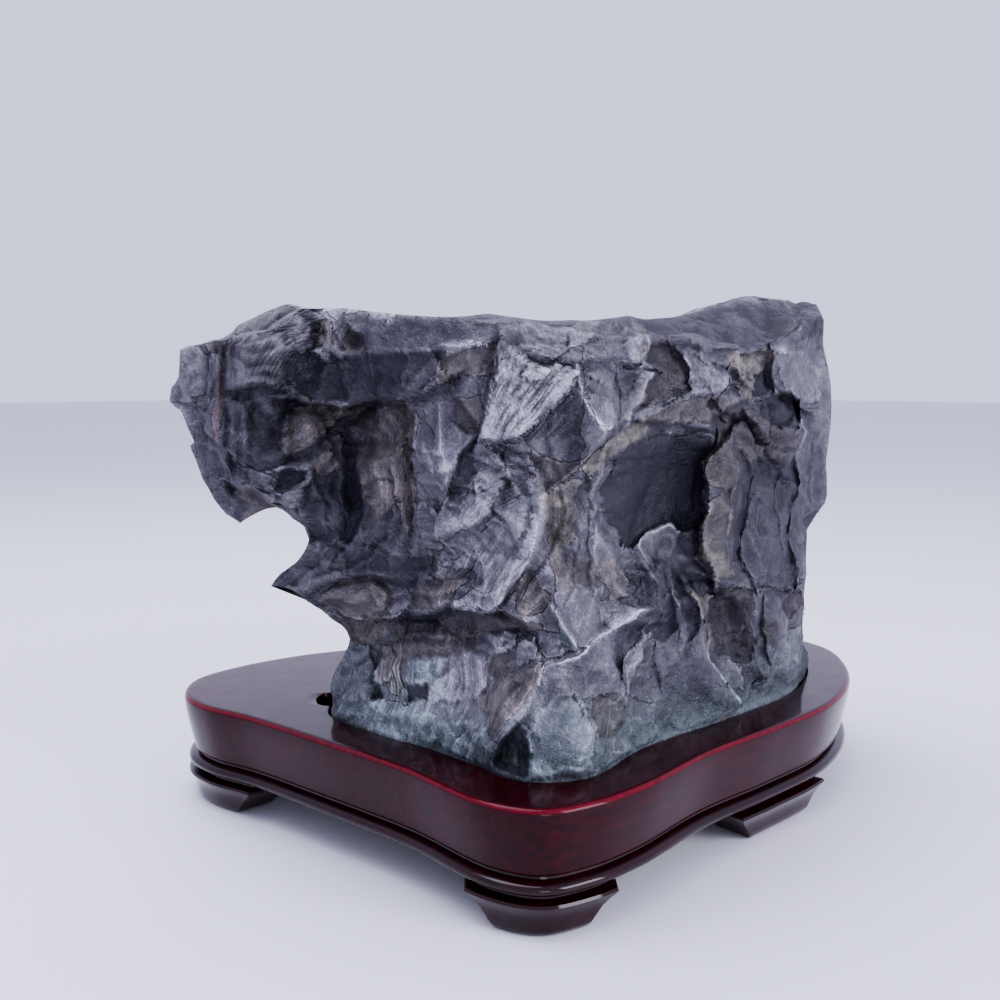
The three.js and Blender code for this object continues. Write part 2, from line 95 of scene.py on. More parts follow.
# the rock in mm: its mesh, and the lines of it that were traced, as [column, row] in px, some of them with a
# share of the height before it
rock = {
    "standTop": 18.6,
    "seatFloor": 14.6,
    "columns": 470,
    "hiddenColumnShare": 0.32,
    "footRings": 5,
    "sideRings": 170,
    "topRings": 28,
    "topCrowding": 1.25,
    "topMiddle": (2.0, -17.0),
    "topRise": 13.0,
    "topFall": 0.004,
    "topFallsFrom": 212.0,
    "hiddenDrop": 2.5,
    "skyline": [
        [167, 352], [187, 346], [207, 343], [215, 340], [230, 337], [236, 326], [250, 320], [262, 312],
        [276, 308], [288, 304], [300, 308], [330, 309], [370, 311], [420, 315], [440, 317], [465, 316],
        [487, 313], [500, 316], [530, 318], [545, 321], [590, 320], [615, 317], [628, 315], [637, 318],
        [650, 321], [680, 318], [700, 308], [720, 303], [735, 298], [750, 296], [765, 297], [789, 300],
        [793, 305], [803, 301], [813, 297], [823, 300],
    ],
    "topEdge": [
        [167, 354], [187, 348], [210, 344], [232, 337], [245, 329], [262, 319], [288, 309], [316, 314],
        [350, 317], [440, 319], [500, 318], [520, 328], [560, 334], [600, 332], [628, 318], [645, 335],
        [690, 346], [740, 345], [775, 343], [800, 325], [823, 316],
    ],
    "prow": [
        [0, 332, 714], [0.06, 331, 692], [0.12, 341, 668], [0.19, 351, 643], [0.23, 347, 629],
        [0.27, 336, 622], [0.31, 321, 607], [0.345, 300, 593], [0.37, 273, 587], [0.385, 271, 584],
        [0.42, 281, 572], [0.455, 300, 557], [0.49, 309, 538], [0.51, 304, 524], [0.525, 291, 513],
        [0.54, 273, 505], [0.555, 256, 513], [0.57, 240, 522], [0.6, 226, 512], [0.68, 204, 480],
        [0.76, 192, 448], [0.82, 183, 426], [0.87, 167, 403], [0.91, 172, 388], [0.94, 179, 374],
        [0.98, 180, 354], [1, 187, 348],
    ],
    "nearFlank": [
        [0, 378, 733], [0.1, 380, 690], [0.2, 392, 645], [0.27, 376, 622], [0.33, 348, 603],
        [0.385, 320, 588], [0.44, 332, 568], [0.5, 345, 535], [0.54, 320, 500], [0.58, 292, 494],
        [0.68, 264, 470], [0.78, 250, 440], [0.88, 238, 400], [0.95, 238, 365], [1, 246, 336],
    ],
    "rightEnd": [
        [0, 797, 676], [0.05, 800, 655], [0.13, 797, 624], [0.18, 805, 608], [0.23, 804, 590],
        [0.28, 808, 573], [0.32, 806, 560], [0.37, 808, 540], [0.43, 807, 518], [0.446, 815, 514],
        [0.475, 824, 504], [0.54, 827, 482], [0.58, 827, 466], [0.66, 830, 438], [0.77, 831, 400],
        [0.84, 829, 375], [0.9, 824, 352], [1, 823, 318],
    ],
}
rockEdges = [
    {"plan": [[0, -37.8, -34.5], [0.35, -38.8, -36], [1, -41.5, -34]]},
    {"plan": [[0, -31, -39.6], [0.35, -32, -40], [1, -34, -41]]},
    {"plan": [[0, -15, -37.4], [0.5, -15, -38.5], [1, -15, -40]]},
    {"plan": [[0, 8, -38.4], [0.5, 8, -40], [1, 8, -40.5]]},
    {"plan": [[0, 29, -37.4], [0.5, 31, -38], [1, 31, -38]]},
    {"seen": "rightEnd", "from": (48.5, -40), "to": (48.5, -20)},
    {"plan": [[0, 51, -10], [0.45, 48.5, -11], [0.5, 52, -12], [1, 49, -11]], "hidden": True},
    {"plan": [[0, 43, 5], [0.4, 42, 2], [0.7, 43, 1], [1, 39, 1]], "hidden": True},
    {"plan": [[0, 14, 16], [0.3, 13, 11], [0.55, 12, 12], [0.8, 11, 7], [1, 10, 4]], "hidden": True},
    {"plan": [[0, -15, 17], [0.3, -16, 12], [0.6, -21, 15], [1, -24, 11]], "hidden": True},
    {
        "plan": [
            [0, -31, 16], [0.2, -27, 17], [0.3, -28, 18], [0.385, -36, 17], [0.49, -30, 18], [0.53, -33, 20],
            [0.57, -44, 22], [0.7, -49, 23], [0.87, -52, 23], [1, -48, 21],
        ],
        "hidden": True,
    },
    {"seen": "prow", "from": (-64.9, 14), "to": (-38.8, 9.3)},
    {"seen": "nearFlank", "from": (-60, 2.5), "to": (-39.4, -4)},
    {"plan": [[0, -38.3, -14], [0.3, -39.5, -10], [0.6, -43, -4], [1, -45, -2]]},
    {"plan": [[0, -38.2, -24], [0.5, -40, -20], [1, -43, -18]]},
]


def edgePoints(k, share):  # an upright edge of the rock at shares of its height
    edge = rockEdges[k % len(rockEdges)]
    if "seen" in edge:
        px, py = along(rock[edge["seen"]], share)
        return seenOn(edge["from"], edge["to"], px, py)
    x, y = along(edge["plan"], share)
    topX, topY = edge["plan"][-1][1:]
    px = pixelsOf(np.array([topX, topY, eye[2]]))[0]
    line = rock["skyline"] if edge.get("hidden") else rock["topEdge"]
    drop = rock["hiddenDrop"] if edge.get("hidden") else 0
    top = heightsSeen(topX, topY, np.array(along(line, px)[0])) - drop
    return np.stack([x, y, rock["standTop"] + (top - rock["standTop"]) * share], -1)


def splineThrough(rows, place):  # a smooth closed line through rows of points, at places counted in rows
    k = np.floor(place).astype(int)
    a, b, c, d = (rows[(k + i) % len(rows)] for i in (-1, 0, 1, 2))
    pairs = ((a, b), (b, c), (c, d))
    steps = [np.maximum(np.sum((q - p) ** 2, -1) ** 0.25, 1e-4)[..., None] for p, q in pairs]
    first = ((b - a) / steps[0] - (c - a) / (steps[0] + steps[1]) + (c - b) / steps[1]) * steps[1]
    last = ((c - b) / steps[1] - (d - b) / (steps[1] + steps[2]) + (d - c) / steps[2]) * steps[1]
    t = (place - k)[:, None, None]
    return b + first * t + (3 * (c - b) - 2 * first - last) * t ** 2 + (2 * (b - c) + first + last) * t ** 3


def sidePoints(place, share):  # the rock's side before any relief: rings up, columns across
    edges = np.array([edgePoints(k, share) for k in range(len(rockEdges))])
    return splineThrough(edges, place).transpose(1, 0, 2)


def topPoints(edge, share):  # the rock's top, from its edge up to the skyline
    middle = np.array(rock["topMiddle"])
    flat = edge[None, :, :2] + (middle - edge[None, :, :2]) * share[:, None, None]
    x, y = flat[..., 0], flat[..., 1]
    px = pixelsOf(np.stack([x, y, np.full_like(x, eye[2] + 10)], -1))[0]
    inward = np.hypot(x - edge[None, :, 0], y - edge[None, :, 1])
    behind = np.maximum(0, (x - eye[0]) * ahead[0] + (y - eye[1]) * ahead[1] - rock["topFallsFrom"])
    sky = heightsSeen(x, y, along(rock["skyline"], px)[0]) - rock["topFall"] * behind ** 2
    z = edge[None, :, 2] + (sky - edge[None, :, 2]) * smooth(inward, 0, rock["topRise"])
    return np.stack([x, y, z], -1)


def columnPlaces():  # more columns on the side that the photograph shows
    fine = np.linspace(0, len(rockEdges), 3000, endpoint=False)
    at = sidePoints(fine, np.array([0.6]))[0]
    step = np.linalg.norm(np.roll(at, -1, 0) - at, axis=1) + 0.004
    hidden = np.array([bool(rockEdges[int(p)].get("hidden")) or int(p) == 5 for p in fine])
    length = np.concatenate([[0], np.cumsum(step * np.where(hidden, rock["hiddenColumnShare"], 1.0))])
    wanted = np.linspace(0, length[-1], rock["columns"], endpoint=False)
    return np.interp(wanted, length, np.append(fine, len(rockEdges)))


# relief strokes in px: a line, then the height in mm and the reach in px over it and under it. Under is below
# a line that is drawn to the right, and left of a line that is drawn downwards.
mainStrokes = [
    ([[226, 352], [224, 400], [228, 450], [234, 488]], -1.2, 16, -2.2, 12),
    ([[240, 388], [262, 384], [282, 390], [296, 400]], 1.6, 40, -2.2, 60),
    ([[232, 486], [256, 490], [278, 503], [290, 514]], 1.8, 26, -1.2, 24),
    ([[316, 316], [316, 345], [330, 352]], 1.2, 40, -1.5, 26),
    ([[322, 352], [360, 354], [410, 352], [470, 344], [500, 340]], 2.4, 44, 2.2, 44),
    ([[288, 400], [345, 407], [372, 401], [405, 400], [430, 391], [448, 380]], 2.2, 46, -3.6, 130),
    ([[402, 400], [416, 410], [418, 440], [413, 490], [410, 548]], 1.6, 60, -1.2, 12),
    ([[372, 402], [336, 430], [288, 458]], -2.2, 12, -1.5, 14),
    ([[346, 440], [352, 500], [344, 556]], -1.4, 14, -1.4, 14),
    ([[300, 592], [330, 583], [352, 577], [430, 578]], 1.4, 34, -1.4, 44),
    ([[384, 622], [402, 614], [430, 617], [448, 608], [480, 616], [505, 608], [522, 622]], 2.0, 44, -1.4, 46),
    ([[473, 440], [460, 456], [452, 488]], -1.5, 30, 1.5, 40),
    ([[503, 494], [498, 512], [478, 526], [450, 534]], -1.2, 26, 1.6, 34),
    ([[545, 494], [548, 520], [538, 548], [518, 578], [500, 604]], -1.5, 36, 1.8, 44),
    ([[374, 655], [376, 694]], -1.8, 9, -1.8, 9),
    ([[409, 662], [407, 700]], -1, 12, -1, 12),
    ([[541, 666], [540, 682], [530, 706], [506, 736], [495, 752]], 0.6, 22, 1.8, 40),
    ([[498, 345], [498, 375], [490, 400], [478, 437]], 2.6, 90, -1.2, 24),
    ([[578, 370], [560, 400], [546, 416], [520, 435], [498, 441]], -1.8, 40, 0, 20),
    ([[572, 362], [600, 361], [628, 359], [645, 368]], 1.8, 36, -1, 40),
    ([[580, 372], [582, 400], [590, 416], [604, 432], [586, 456], [578, 474]], 1.2, 24, 1.2, 20),
    ([[628, 316], [632, 345], [645, 368]], 1.6, 22, 1.6, 34),
    ([[646, 344], [646, 366], [640, 400], [630, 420], [604, 434], [590, 452]], -3.2, 46, 1.6, 34),
    ([[640, 421], [672, 424], [704, 429], [724, 412], [742, 402]], 1.0, 30, -2.0, 90),
    ([[604, 462], [608, 500], [612, 540], [620, 574]], -2.4, 60, 1.2, 30),
    ([[738, 430], [706, 458], [711, 480], [702, 510], [703, 550], [712, 580]], 2.6, 36, -2, 80),
    ([[733, 486], [724, 516], [730, 580]], -0.5, 14, -0.4, 10),
    ([[752, 484], [744, 520], [743, 556], [750, 586]], 0.7, 40, -0.4, 14),
    ([[800, 408], [796, 440], [796, 480], [788, 510], [787, 550], [792, 584]], 1, 20, -0.6, 16),
    ([[765, 400], [784, 394], [798, 404]], 1, 20, -1.8, 32),
    ([[645, 344], [668, 340], [700, 351], [740, 346], [774, 352]], 1.2, 34, 0.4, 24),
    ([[774, 352], [776, 384], [800, 406]], 1.0, 40, -0.8, 18),
    ([[540, 664], [562, 662], [582, 653], [608, 634], [620, 618]], 1.8, 40, 1.6, 30),
    ([[608, 634], [614, 660], [624, 712]], -0.9, 12, -0.7, 14),
    ([[642, 560], [642, 640], [630, 676], [626, 712]], 0.4, 24, 1.6, 18),
    ([[678, 574], [678, 612], [684, 650]], -1.4, 20, 1.2, 10),
    ([[697, 594], [704, 622], [712, 656], [724, 684], [742, 702]], -2.4, 44, 1.8, 26),
    ([[520, 722], [504, 742], [497, 760]], -2, 30, 0.6, 12),
]
# rounded swellings and hollows: middle and half size in px, height in mm
mainSwellings = [
    (266, 428, 26, 40, -2.5), (262, 352, 30, 30, 1.6), (285, 476, 22, 12, -1.0), (302, 432, 26, 26, 2),
    (386, 470, 30, 74, 4.4), (362, 600, 30, 26, 2), (612, 398, 34, 34, -2), (655, 492, 54, 80, -5),
    (728, 452, 22, 34, 2), (770, 458, 28, 26, 2.4), (767, 536, 22, 52, 2), (575, 612, 34, 34, 1.4),
    (582, 724, 40, 50, 1.6), (692, 670, 40, 50, 1.4), (780, 640, 20, 44, 1.6), (440, 700, 90, 46, 1.6),
]
# finer strokes: the same, with the width in px over which the step happens
fineStrokes = [
    # the head
    ([[232, 345], [234, 380], [236, 420], [240, 465]], -0.8, 8, -0.8, 6, 2),
    ([[218, 350], [216, 380], [220, 420], [222, 455]], 0.8, 10, 0.8, 8, 2),
    ([[180, 352], [196, 372], [206, 400], [214, 430]], 0.5, 10, 0.5, 22, 3),
    ([[170, 402], [192, 408], [210, 402]], 0.4, 12, -0.5, 12, 3),
    ([[196, 450], [214, 462], [232, 486]], 0.5, 10, -0.6, 14, 3),
    ([[310, 318], [300, 330], [286, 346], [270, 352], [252, 356]], 0.8, 10, -0.8, 8, 2),
    ([[300, 312], [286, 328], [268, 340], [248, 344]], 0.7, 9, -0.7, 7, 2),
    ([[316, 326], [306, 340], [290, 356], [272, 364], [250, 368]], 0.7, 9, -0.7, 8, 2),
    ([[330, 320], [338, 336], [350, 350]], 0.7, 7, -0.5, 7, 2),
    ([[350, 322], [340, 336], [330, 350]], 0.7, 7, -0.5, 7, 2),
    ([[350, 328], [362, 352]], -0.9, 10, -0.9, 10, 3),
    ([[304, 348], [318, 360], [330, 356]], 0.8, 10, -0.8, 8, 2),
    ([[262, 372], [280, 376], [296, 386], [310, 392]], 0.6, 8, -0.8, 8, 2),
    ([[250, 402], [262, 418], [268, 440], [276, 458]], -0.7, 8, 0.6, 10, 2),
    ([[276, 468], [286, 462], [298, 466], [300, 478], [288, 486], [274, 482]], 0.5, 5, -0.4, 6, 2),
    ([[264, 486], [284, 490], [302, 502]], 0.8, 10, -0.8, 8, 2),
    ([[240, 470], [262, 480], [290, 496], [312, 520]], 0.6, 8, -0.5, 10, 2),
    # under the beam
    ([
        [302, 392], [318, 400], [338, 405], [352, 404], [366, 401], [385, 399], [405, 398], [420, 390],
        [432, 380],
    ], 0.6, 7, -0.8, 10, 2),
    ([[302, 400], [312, 406], [325, 411], [335, 416], [350, 409], [366, 404]], 0.9, 6, -0.9, 8, 2),
    ([[366, 403], [340, 425], [325, 435], [300, 450], [285, 460]], -1.2, 5, -1.2, 5, 2),
    ([
        [290, 410], [305, 408], [320, 412], [327, 420], [328, 428], [315, 436], [300, 445], [285, 453],
    ], 0.9, 9, -0.9, 9, 2),
    ([
        [405, 401], [413, 408], [418, 418], [418, 440], [417, 460], [413, 480], [412, 500], [411, 520],
        [410, 535],
    ], -0.6, 5, -0.5, 5, 2),
    ([[346, 432], [348, 460], [350, 500]], -0.9, 6, -0.9, 6, 2),
    ([[362, 420], [372, 450], [374, 490], [366, 530]], 0.7, 10, -0.5, 10, 3),
    ([[384, 415], [392, 450], [394, 500], [388, 540]], 0.6, 9, -0.6, 9, 3),
    ([[318, 436], [326, 452], [336, 470], [340, 500]], 0.9, 9, -0.7, 9, 2),
    ([[300, 458], [312, 480], [326, 506], [330, 530]], -0.9, 7, 0.7, 9, 2),
    ([[360, 520], [352, 540], [340, 560]], 0.8, 8, -0.8, 8, 2),
    ([[386, 540], [372, 556], [350, 568], [320, 580]], 0.8, 8, -0.9, 9, 2),
    ([[440, 345], [462, 346], [488, 342]], 0.8, 8, 0.5, 8, 2),
    ([[345, 355], [365, 351], [400, 353], [430, 352]], 0.7, 7, 0.2, 8, 2),
    ([[430, 376], [460, 372], [490, 378]], 0.4, 12, -0.4, 12, 3),
    ([[440, 400], [436, 430], [446, 470]], 0.4, 14, -0.4, 10, 3),
    # the plate and the beak
    ([
        [345, 578], [365, 576], [380, 582], [387, 595], [385, 610], [375, 620], [355, 625], [338, 620],
    ], 0.2, 5, 1, 10, 2),
    ([[305, 594], [320, 588], [345, 578], [370, 574], [400, 576], [432, 574]], 0.7, 8, -0.9, 9, 2),
    ([[320, 606], [338, 616], [352, 628]], -0.8, 7, 0.8, 9, 2),
    ([[345, 646], [356, 640], [370, 646], [372, 662]], -0.6, 6, 0.9, 9, 2),
    # the flutes and the fibres below the overhang
    ([
        [385, 625], [395, 617], [415, 614], [430, 617], [445, 608], [462, 612], [480, 615], [500, 611],
        [520, 620],
    ], 0.8, 8, -0.9, 12, 2),
    ([[388, 600], [410, 592], [436, 596], [462, 590], [484, 596]], 0.7, 9, -0.8, 9, 2),
    ([[400, 640], [420, 636], [450, 642], [476, 638], [505, 644]], 0.5, 8, -0.8, 10, 2),
    ([[407, 684], [425, 684], [426, 700], [408, 701]], 0.3, 4, -1.2, 8, 2),
    ([[485, 636], [498, 634], [500, 654], [486, 656]], 0.2, 4, 0.9, 8, 2),
    ([[507, 642], [533, 640], [535, 664], [508, 666]], 0.2, 4, 1.2, 12, 2),
    # the middle
    ([[478, 437], [466, 445], [458, 458], [455, 475], [450, 490]], 0.4, 8, 1, 8, 2),
    ([[482, 440], [500, 450], [516, 460], [532, 472]], 0.9, 8, -0.8, 8, 2),
    ([[470, 456], [490, 466], [508, 480], [520, 496]], 0.8, 8, -0.7, 8, 2),
    ([[470, 490], [486, 486], [500, 494], [504, 510]], 0.7, 7, -0.9, 8, 2),
    ([[524, 480], [534, 500], [530, 530], [516, 552]], 0.9, 9, -0.9, 9, 2),
    ([[500, 505], [515, 520], [518, 545], [506, 566]], 0.8, 8, -0.8, 8, 2),
    ([[440, 500], [462, 512], [478, 530], [492, 552]], 0.8, 8, -0.7, 8, 2),
    ([[436, 540], [460, 548], [480, 566], [484, 590]], 0.8, 8, -0.8, 8, 2),
    ([[552, 412], [548, 440], [556, 466], [566, 486]], 0.5, 14, -0.4, 10, 3),
    ([[520, 437], [530, 456], [540, 476]], -0.8, 8, 0.5, 8, 2),
    ([[576, 365], [580, 395], [590, 412], [602, 430]], 1, 5, 0.8, 7, 2),
    ([[575, 346], [590, 352], [604, 361]], 0.5, 8, -0.5, 8, 2),
    ([[627, 316], [640, 325], [645, 345], [646, 368]], 0.9, 6, 0.4, 7, 2),
    ([[600, 361], [616, 372], [626, 392], [622, 420]], 0.5, 8, -0.4, 12, 3),
    ([[514, 352], [530, 362], [545, 368], [556, 362], [570, 364]], -1, 7, 0.6, 9, 2),
    # the crumbly strip
    ([
        [646, 400], [634, 420], [618, 434], [594, 446], [584, 462], [562, 480], [543, 498],
    ], 1.2, 10, 0.8, 8, 2),
    ([[612, 466], [620, 462], [628, 470], [622, 482], [612, 478]], 0.9, 8, 0.6, 7, 2),
    ([[560, 486], [568, 510], [562, 540], [546, 560], [530, 584]], 0.6, 8, -0.4, 8, 2),
    ([[588, 470], [596, 500], [592, 530], [600, 560], [594, 596]], 0.6, 7, -0.3, 9, 2),
    ([[574, 520], [584, 546], [580, 576], [566, 604]], 0.5, 8, -0.3, 8, 2),
    # the dark recess and the upper right
    ([[640, 405], [660, 400], [680, 395], [715, 392]], 0.7, 7, -0.8, 8, 2),
    ([[640, 424], [680, 422], [720, 420]], 0.7, 6, -0.9, 8, 2),
    ([[660, 433], [690, 431], [712, 432]], 0.6, 5, -1.2, 8, 2),
    ([[646, 345], [662, 342], [678, 362], [683, 375], [680, 390], [655, 405]], 0.9, 7, -1, 12, 2),
    ([[660, 339], [680, 342], [700, 351], [716, 352]], 0.9, 7, -0.9, 7, 2),
    ([[690, 356], [702, 366], [716, 362], [730, 368]], 0.8, 8, -0.9, 8, 2),
    ([[733, 366], [725, 380], [718, 398]], 0.9, 7, -0.9, 8, 2),
    ([[748, 347], [762, 350], [775, 352], [776, 390]], 0.7, 6, -1, 8, 2),
    ([[740, 372], [750, 386], [764, 392]], 0.8, 7, -0.8, 8, 2),
    ([[775, 394], [790, 393], [800, 404], [801, 422], [793, 430], [776, 424], [766, 408]], 1, 6, -1.4, 10, 2),
    ([[795, 300], [810, 306], [822, 304]], 0.7, 6, -0.4, 7, 2),
    ([[800, 314], [812, 320], [824, 318]], 0.4, 6, -1, 9, 2),
    # the pillars
    ([
        [720, 432], [704, 458], [702, 463], [712, 482], [703, 510], [702, 525], [703, 560], [712, 580],
    ], 1.2, 7, -1.2, 8, 2),
    ([[742, 465], [730, 490], [722, 515], [726, 545], [727, 570]], 0.6, 7, -0.5, 7, 2),
    ([[716, 448], [734, 442], [748, 450], [752, 470]], 0.9, 8, 0.6, 9, 2),
    ([[760, 440], [776, 448], [792, 444]], 0.8, 8, -0.7, 8, 2),
    ([[762, 486], [756, 520], [758, 552], [766, 580]], -0.3, 7, 0.3, 8, 2),
    ([[782, 476], [776, 510], [780, 548]], 0.7, 8, -0.6, 8, 2),
    ([[800, 412], [805, 430], [800, 450], [795, 490], [788, 530]], 0.6, 7, -0.4, 8, 2),
    ([[812, 420], [816, 460], [812, 500]], 0.6, 6, -0.5, 7, 2),
    ([[703, 575], [722, 583], [740, 588], [760, 585], [783, 590], [796, 592]], 0.9, 6, -1.2, 9, 2),
    # the skirt
    ([
        [540, 687], [543, 675], [548, 666], [560, 664], [575, 658], [587, 653], [598, 643], [614, 630],
        [620, 618], [626, 605],
    ], 1.3, 6, 1.1, 7, 2),
    ([[551, 605], [560, 620], [570, 636], [580, 650]], 0.9, 6, 0.9, 6, 2),
    ([[530, 562], [520, 584], [508, 602]], 1, 8, -0.8, 8, 2),
    ([[609, 636], [618, 665], [622, 695], [625, 715]], -0.8, 6, -0.7, 6, 2),
    ([[641, 563], [640, 600], [641, 635], [628, 660], [621, 690]], 1, 6, 1, 7, 2),
    ([[645, 562], [644, 545], [652, 534], [672, 525], [682, 531], [684, 545]], 1.3, 5, 0.9, 6, 2),
    ([[655, 560], [658, 546], [670, 540], [676, 552]], -1, 6, -1, 6, 2),
    ([[677, 575], [677, 600], [682, 630], [686, 650]], 1, 5, 1, 6, 2),
    ([[690, 590], [700, 600], [700, 615], [712, 635], [712, 660]], 1.2, 6, 1, 6, 2),
    ([[712, 658], [718, 670], [725, 682], [743, 705]], 1, 6, -0.7, 8, 2),
    ([[730, 600], [736, 630], [732, 660]], -0.6, 8, 0.5, 8, 3),
    ([[766, 596], [762, 630], [770, 664]], 0.8, 8, -0.7, 8, 2),
    ([[552, 705], [560, 697], [575, 695], [588, 720]], 0.7, 6, -0.5, 8, 2),
    ([[598, 684], [590, 704], [592, 730]], -0.5, 10, 0.4, 10, 3),
    ([[655, 610], [652, 650], [664, 690]], 0.6, 10, -0.6, 10, 3),
    ([[520, 722], [528, 736], [530, 778]], 0.8, 6, -1.6, 12, 2),
    ([[512, 690], [500, 716], [492, 744]], 0.8, 7, -0.8, 8, 2),
]
fineSwellings = [
    (690, 560, 7, 7, 1.4), (690, 580, 7, 7, 1.4), (620, 472, 9, 9, 1.4), (603, 446, 8, 6, 1),
    (588, 458, 7, 6, 1), (636, 412, 7, 7, 0.9), (574, 470, 7, 6, 0.8), (706, 604, 6, 8, 0.9),
    (357, 655, 14, 9, 1.1), (492, 645, 8, 10, 1), (520, 652, 14, 12, 1.2), (808, 305, 12, 8, 1.2),
    (704, 352, 12, 9, 1.1), (722, 378, 10, 12, 0.9), (752, 364, 14, 10, 1), (768, 384, 8, 14, -0.9),
    (757, 395, 4, 8, -0.8), (318, 352, 9, 8, 1), (786, 412, 14, 16, -1.2), (360, 340, 9, 10, -1.2),
    (416, 692, 8, 7, -1.2), (287, 474, 9, 5, -0.5), (508, 750, 10, 18, -1.6), (430, 426, 20, 30, 0.8),
    (560, 430, 22, 40, -1), (664, 360, 14, 20, -1.6), (630, 760, 26, 20, 0.6), (560, 740, 30, 26, 0.8),
]
# combed strands: middle and half size in px, their direction in degrees, pitch in px, height in mm, curl
combs = [
    (510, 396, 26, 52, 112, 8.5, 0.5, 0.0), (540, 398, 44, 42, 134, 8.5, 0.6, 0.0),
    (492, 500, 44, 60, 140, 11, 0.2, 0.03), (490, 572, 50, 40, 122, 10, 0.2, 0.01),
    (420, 700, 90, 60, 92, 12, 0.2, 0.0), (268, 352, 44, 30, 132, 10, 0.3, 0.02),
    (430, 528, 24, 26, 178, 9, 0.3, 0.0), (330, 500, 26, 60, 100, 13, 0.15, 0.01),
    (430, 634, 58, 24, 84, 11, 0.25, 0.0),
]
# finer strands, which the material carves along a phase kept on the mesh: the same, with a depth in place of
# the height
fineCombs = [
    (268, 345, 56, 40, 132, 4.6, 1.2, 0.03), (200, 400, 36, 66, 112, 5.5, 0.3, 0.01),
    (238, 420, 14, 84, 96, 4.5, 0.9, 0.0), (290, 530, 66, 40, 28, 4.2, 1.0, 0.02),
    (250, 500, 40, 24, 20, 4, 0.7, 0.0), (340, 500, 34, 64, 102, 4.6, 0.8, 0.01),
    (384, 470, 32, 76, 92, 5, 0.5, 0.01), (428, 528, 26, 30, 178, 4.6, 0.7, 0.0),
    (506, 392, 26, 56, 112, 4.2, 1.3, 0.0), (540, 396, 44, 48, 134, 4.2, 1.3, 0.0),
    (492, 500, 44, 60, 142, 4.8, 0.8, 0.03), (486, 572, 58, 44, 120, 4.2, 1.1, 0.012),
    (430, 634, 62, 26, 84, 5, 1.0, 0.0), (420, 690, 96, 50, 100, 4, 1.1, 0.0),
    (440, 742, 100, 38, 112, 3.4, 1.2, 0.0), (350, 690, 26, 56, 74, 4.2, 0.9, 0.0),
    (766, 530, 30, 74, 94, 5.5, 0.2, 0.0), (724, 520, 24, 76, 92, 5, 0.3, 0.0),
    (590, 550, 34, 70, 84, 5, 0.25, 0.0), (410, 366, 110, 30, 178, 5, 0.2, 0.0),
    (815, 450, 18, 90, 92, 4.6, 0.3, 0.0), (660, 480, 46, 60, 174, 5, 0.12, 0.0),
    (775, 640, 28, 56, 88, 5, 0.25, 0.0), (735, 630, 24, 50, 78, 4.4, 0.4, 0.0),
    (330, 440, 40, 24, 150, 4.6, 0.3, 0.0),
]


def lineOffsets(line, px, py):  # gap to a line, the side it is on, and how far past the ends
    best = np.full(px.shape, np.inf)
    side, past = np.zeros(px.shape), np.zeros(px.shape)
    for i in range(len(line) - 1):
        (ax, ay), (bx, by) = line[i], line[i + 1]
        share = ((px - ax) * (bx - ax) + (py - ay) * (by - ay)) / ((bx - ax) ** 2 + (by - ay) ** 2)
        held = np.clip(share, 0, 1)
        gap = np.hypot(px - (ax + (bx - ax) * held), py - (ay + (by - ay) * held))
        turn = np.sign((bx - ax) * (py - ay) - (by - ay) * (px - ax))
        over = ((i == 0) & (share < 0)) | ((i == len(line) - 2) & (share > 1))
        nearer = gap < best
        side, past = np.where(nearer, turn, side), np.where(nearer, np.where(over, gap, 0), past)
        best = np.minimum(gap, best)
    return best, side, past


def strokeRelief(strokes, px, py, soft, fadeOut, sharper=1.0):
    rise = np.zeros(px.shape)
    for line, over, far, under, near, *own in strokes:
        gap, side, past = lineOffsets(line, px, py)
        step = own[0] if own else soft
        below = smooth(side * gap, -step / 2, step / 2)
        high = over * np.maximum(0, 1 - gap / far) ** sharper
        low = under * np.maximum(0, 1 - gap / near) ** sharper
        rise += (1 - smooth(past, 0, fadeOut)) * (high + (low - high) * below)
    return rise


def swellingRelief(swellings, px, py):
    rise = np.zeros(px.shape)
    for x, y, wide, tall, height in swellings:
        rise += height * np.maximum(0, 1 - ((px - x) / wide) ** 2 - ((py - y) / tall) ** 2) ** 1.5
    return rise


def noiseAt(points, size, shift=0.0):  # one value for each point
    flat = points.reshape(-1, 3) / size + shift
    values = [noise.noise(p, noise_basis="PERLIN_ORIGINAL") for p in flat.tolist()]
    return np.array(values).reshape(points.shape[:-1])


def ridgesAt(points, size, octaves, shift=0.0):
    flat = points.reshape(-1, 3) / size + shift
    values = [noise.ridged_multi_fractal(p, 0.9, 2.1, octaves, 1.0, 1.6) for p in flat.tolist()]
    return np.array(values).reshape(points.shape[:-1]) - 1.0


def combPhase(comb, px, py, wander):  # how many strands across a point is, and how far inside the patch
    x, y, wide, tall, angle, pitch, _, curl = comb
    turn = math.radians(angle)
    dx, dy = px - x, py - y
    reach = np.maximum(0, 1 - (dx / wide) ** 2 - (dy / tall) ** 2)
    lengthwise = dx * math.cos(turn) + dy * math.sin(turn)
    across = dy * math.cos(turn) - dx * math.sin(turn) + curl * lengthwise ** 2 / 4 + wander
    return across / pitch, reach


def combRelief(px, py, points):
    rise = np.zeros(px.shape)
    wander = noiseAt(points, 7.0) * 5
    strand = noiseAt(points, 2.2, shift=31.0)
    for comb in combs:
        phase, reach = combPhase(comb, px, py, wander)
        wave = 1 - 2 * np.abs(phase - np.floor(phase) - 0.5) * 2
        rise += comb[6] * np.sqrt(reach) * wave * (0.75 + 0.6 * strand)
    return rise


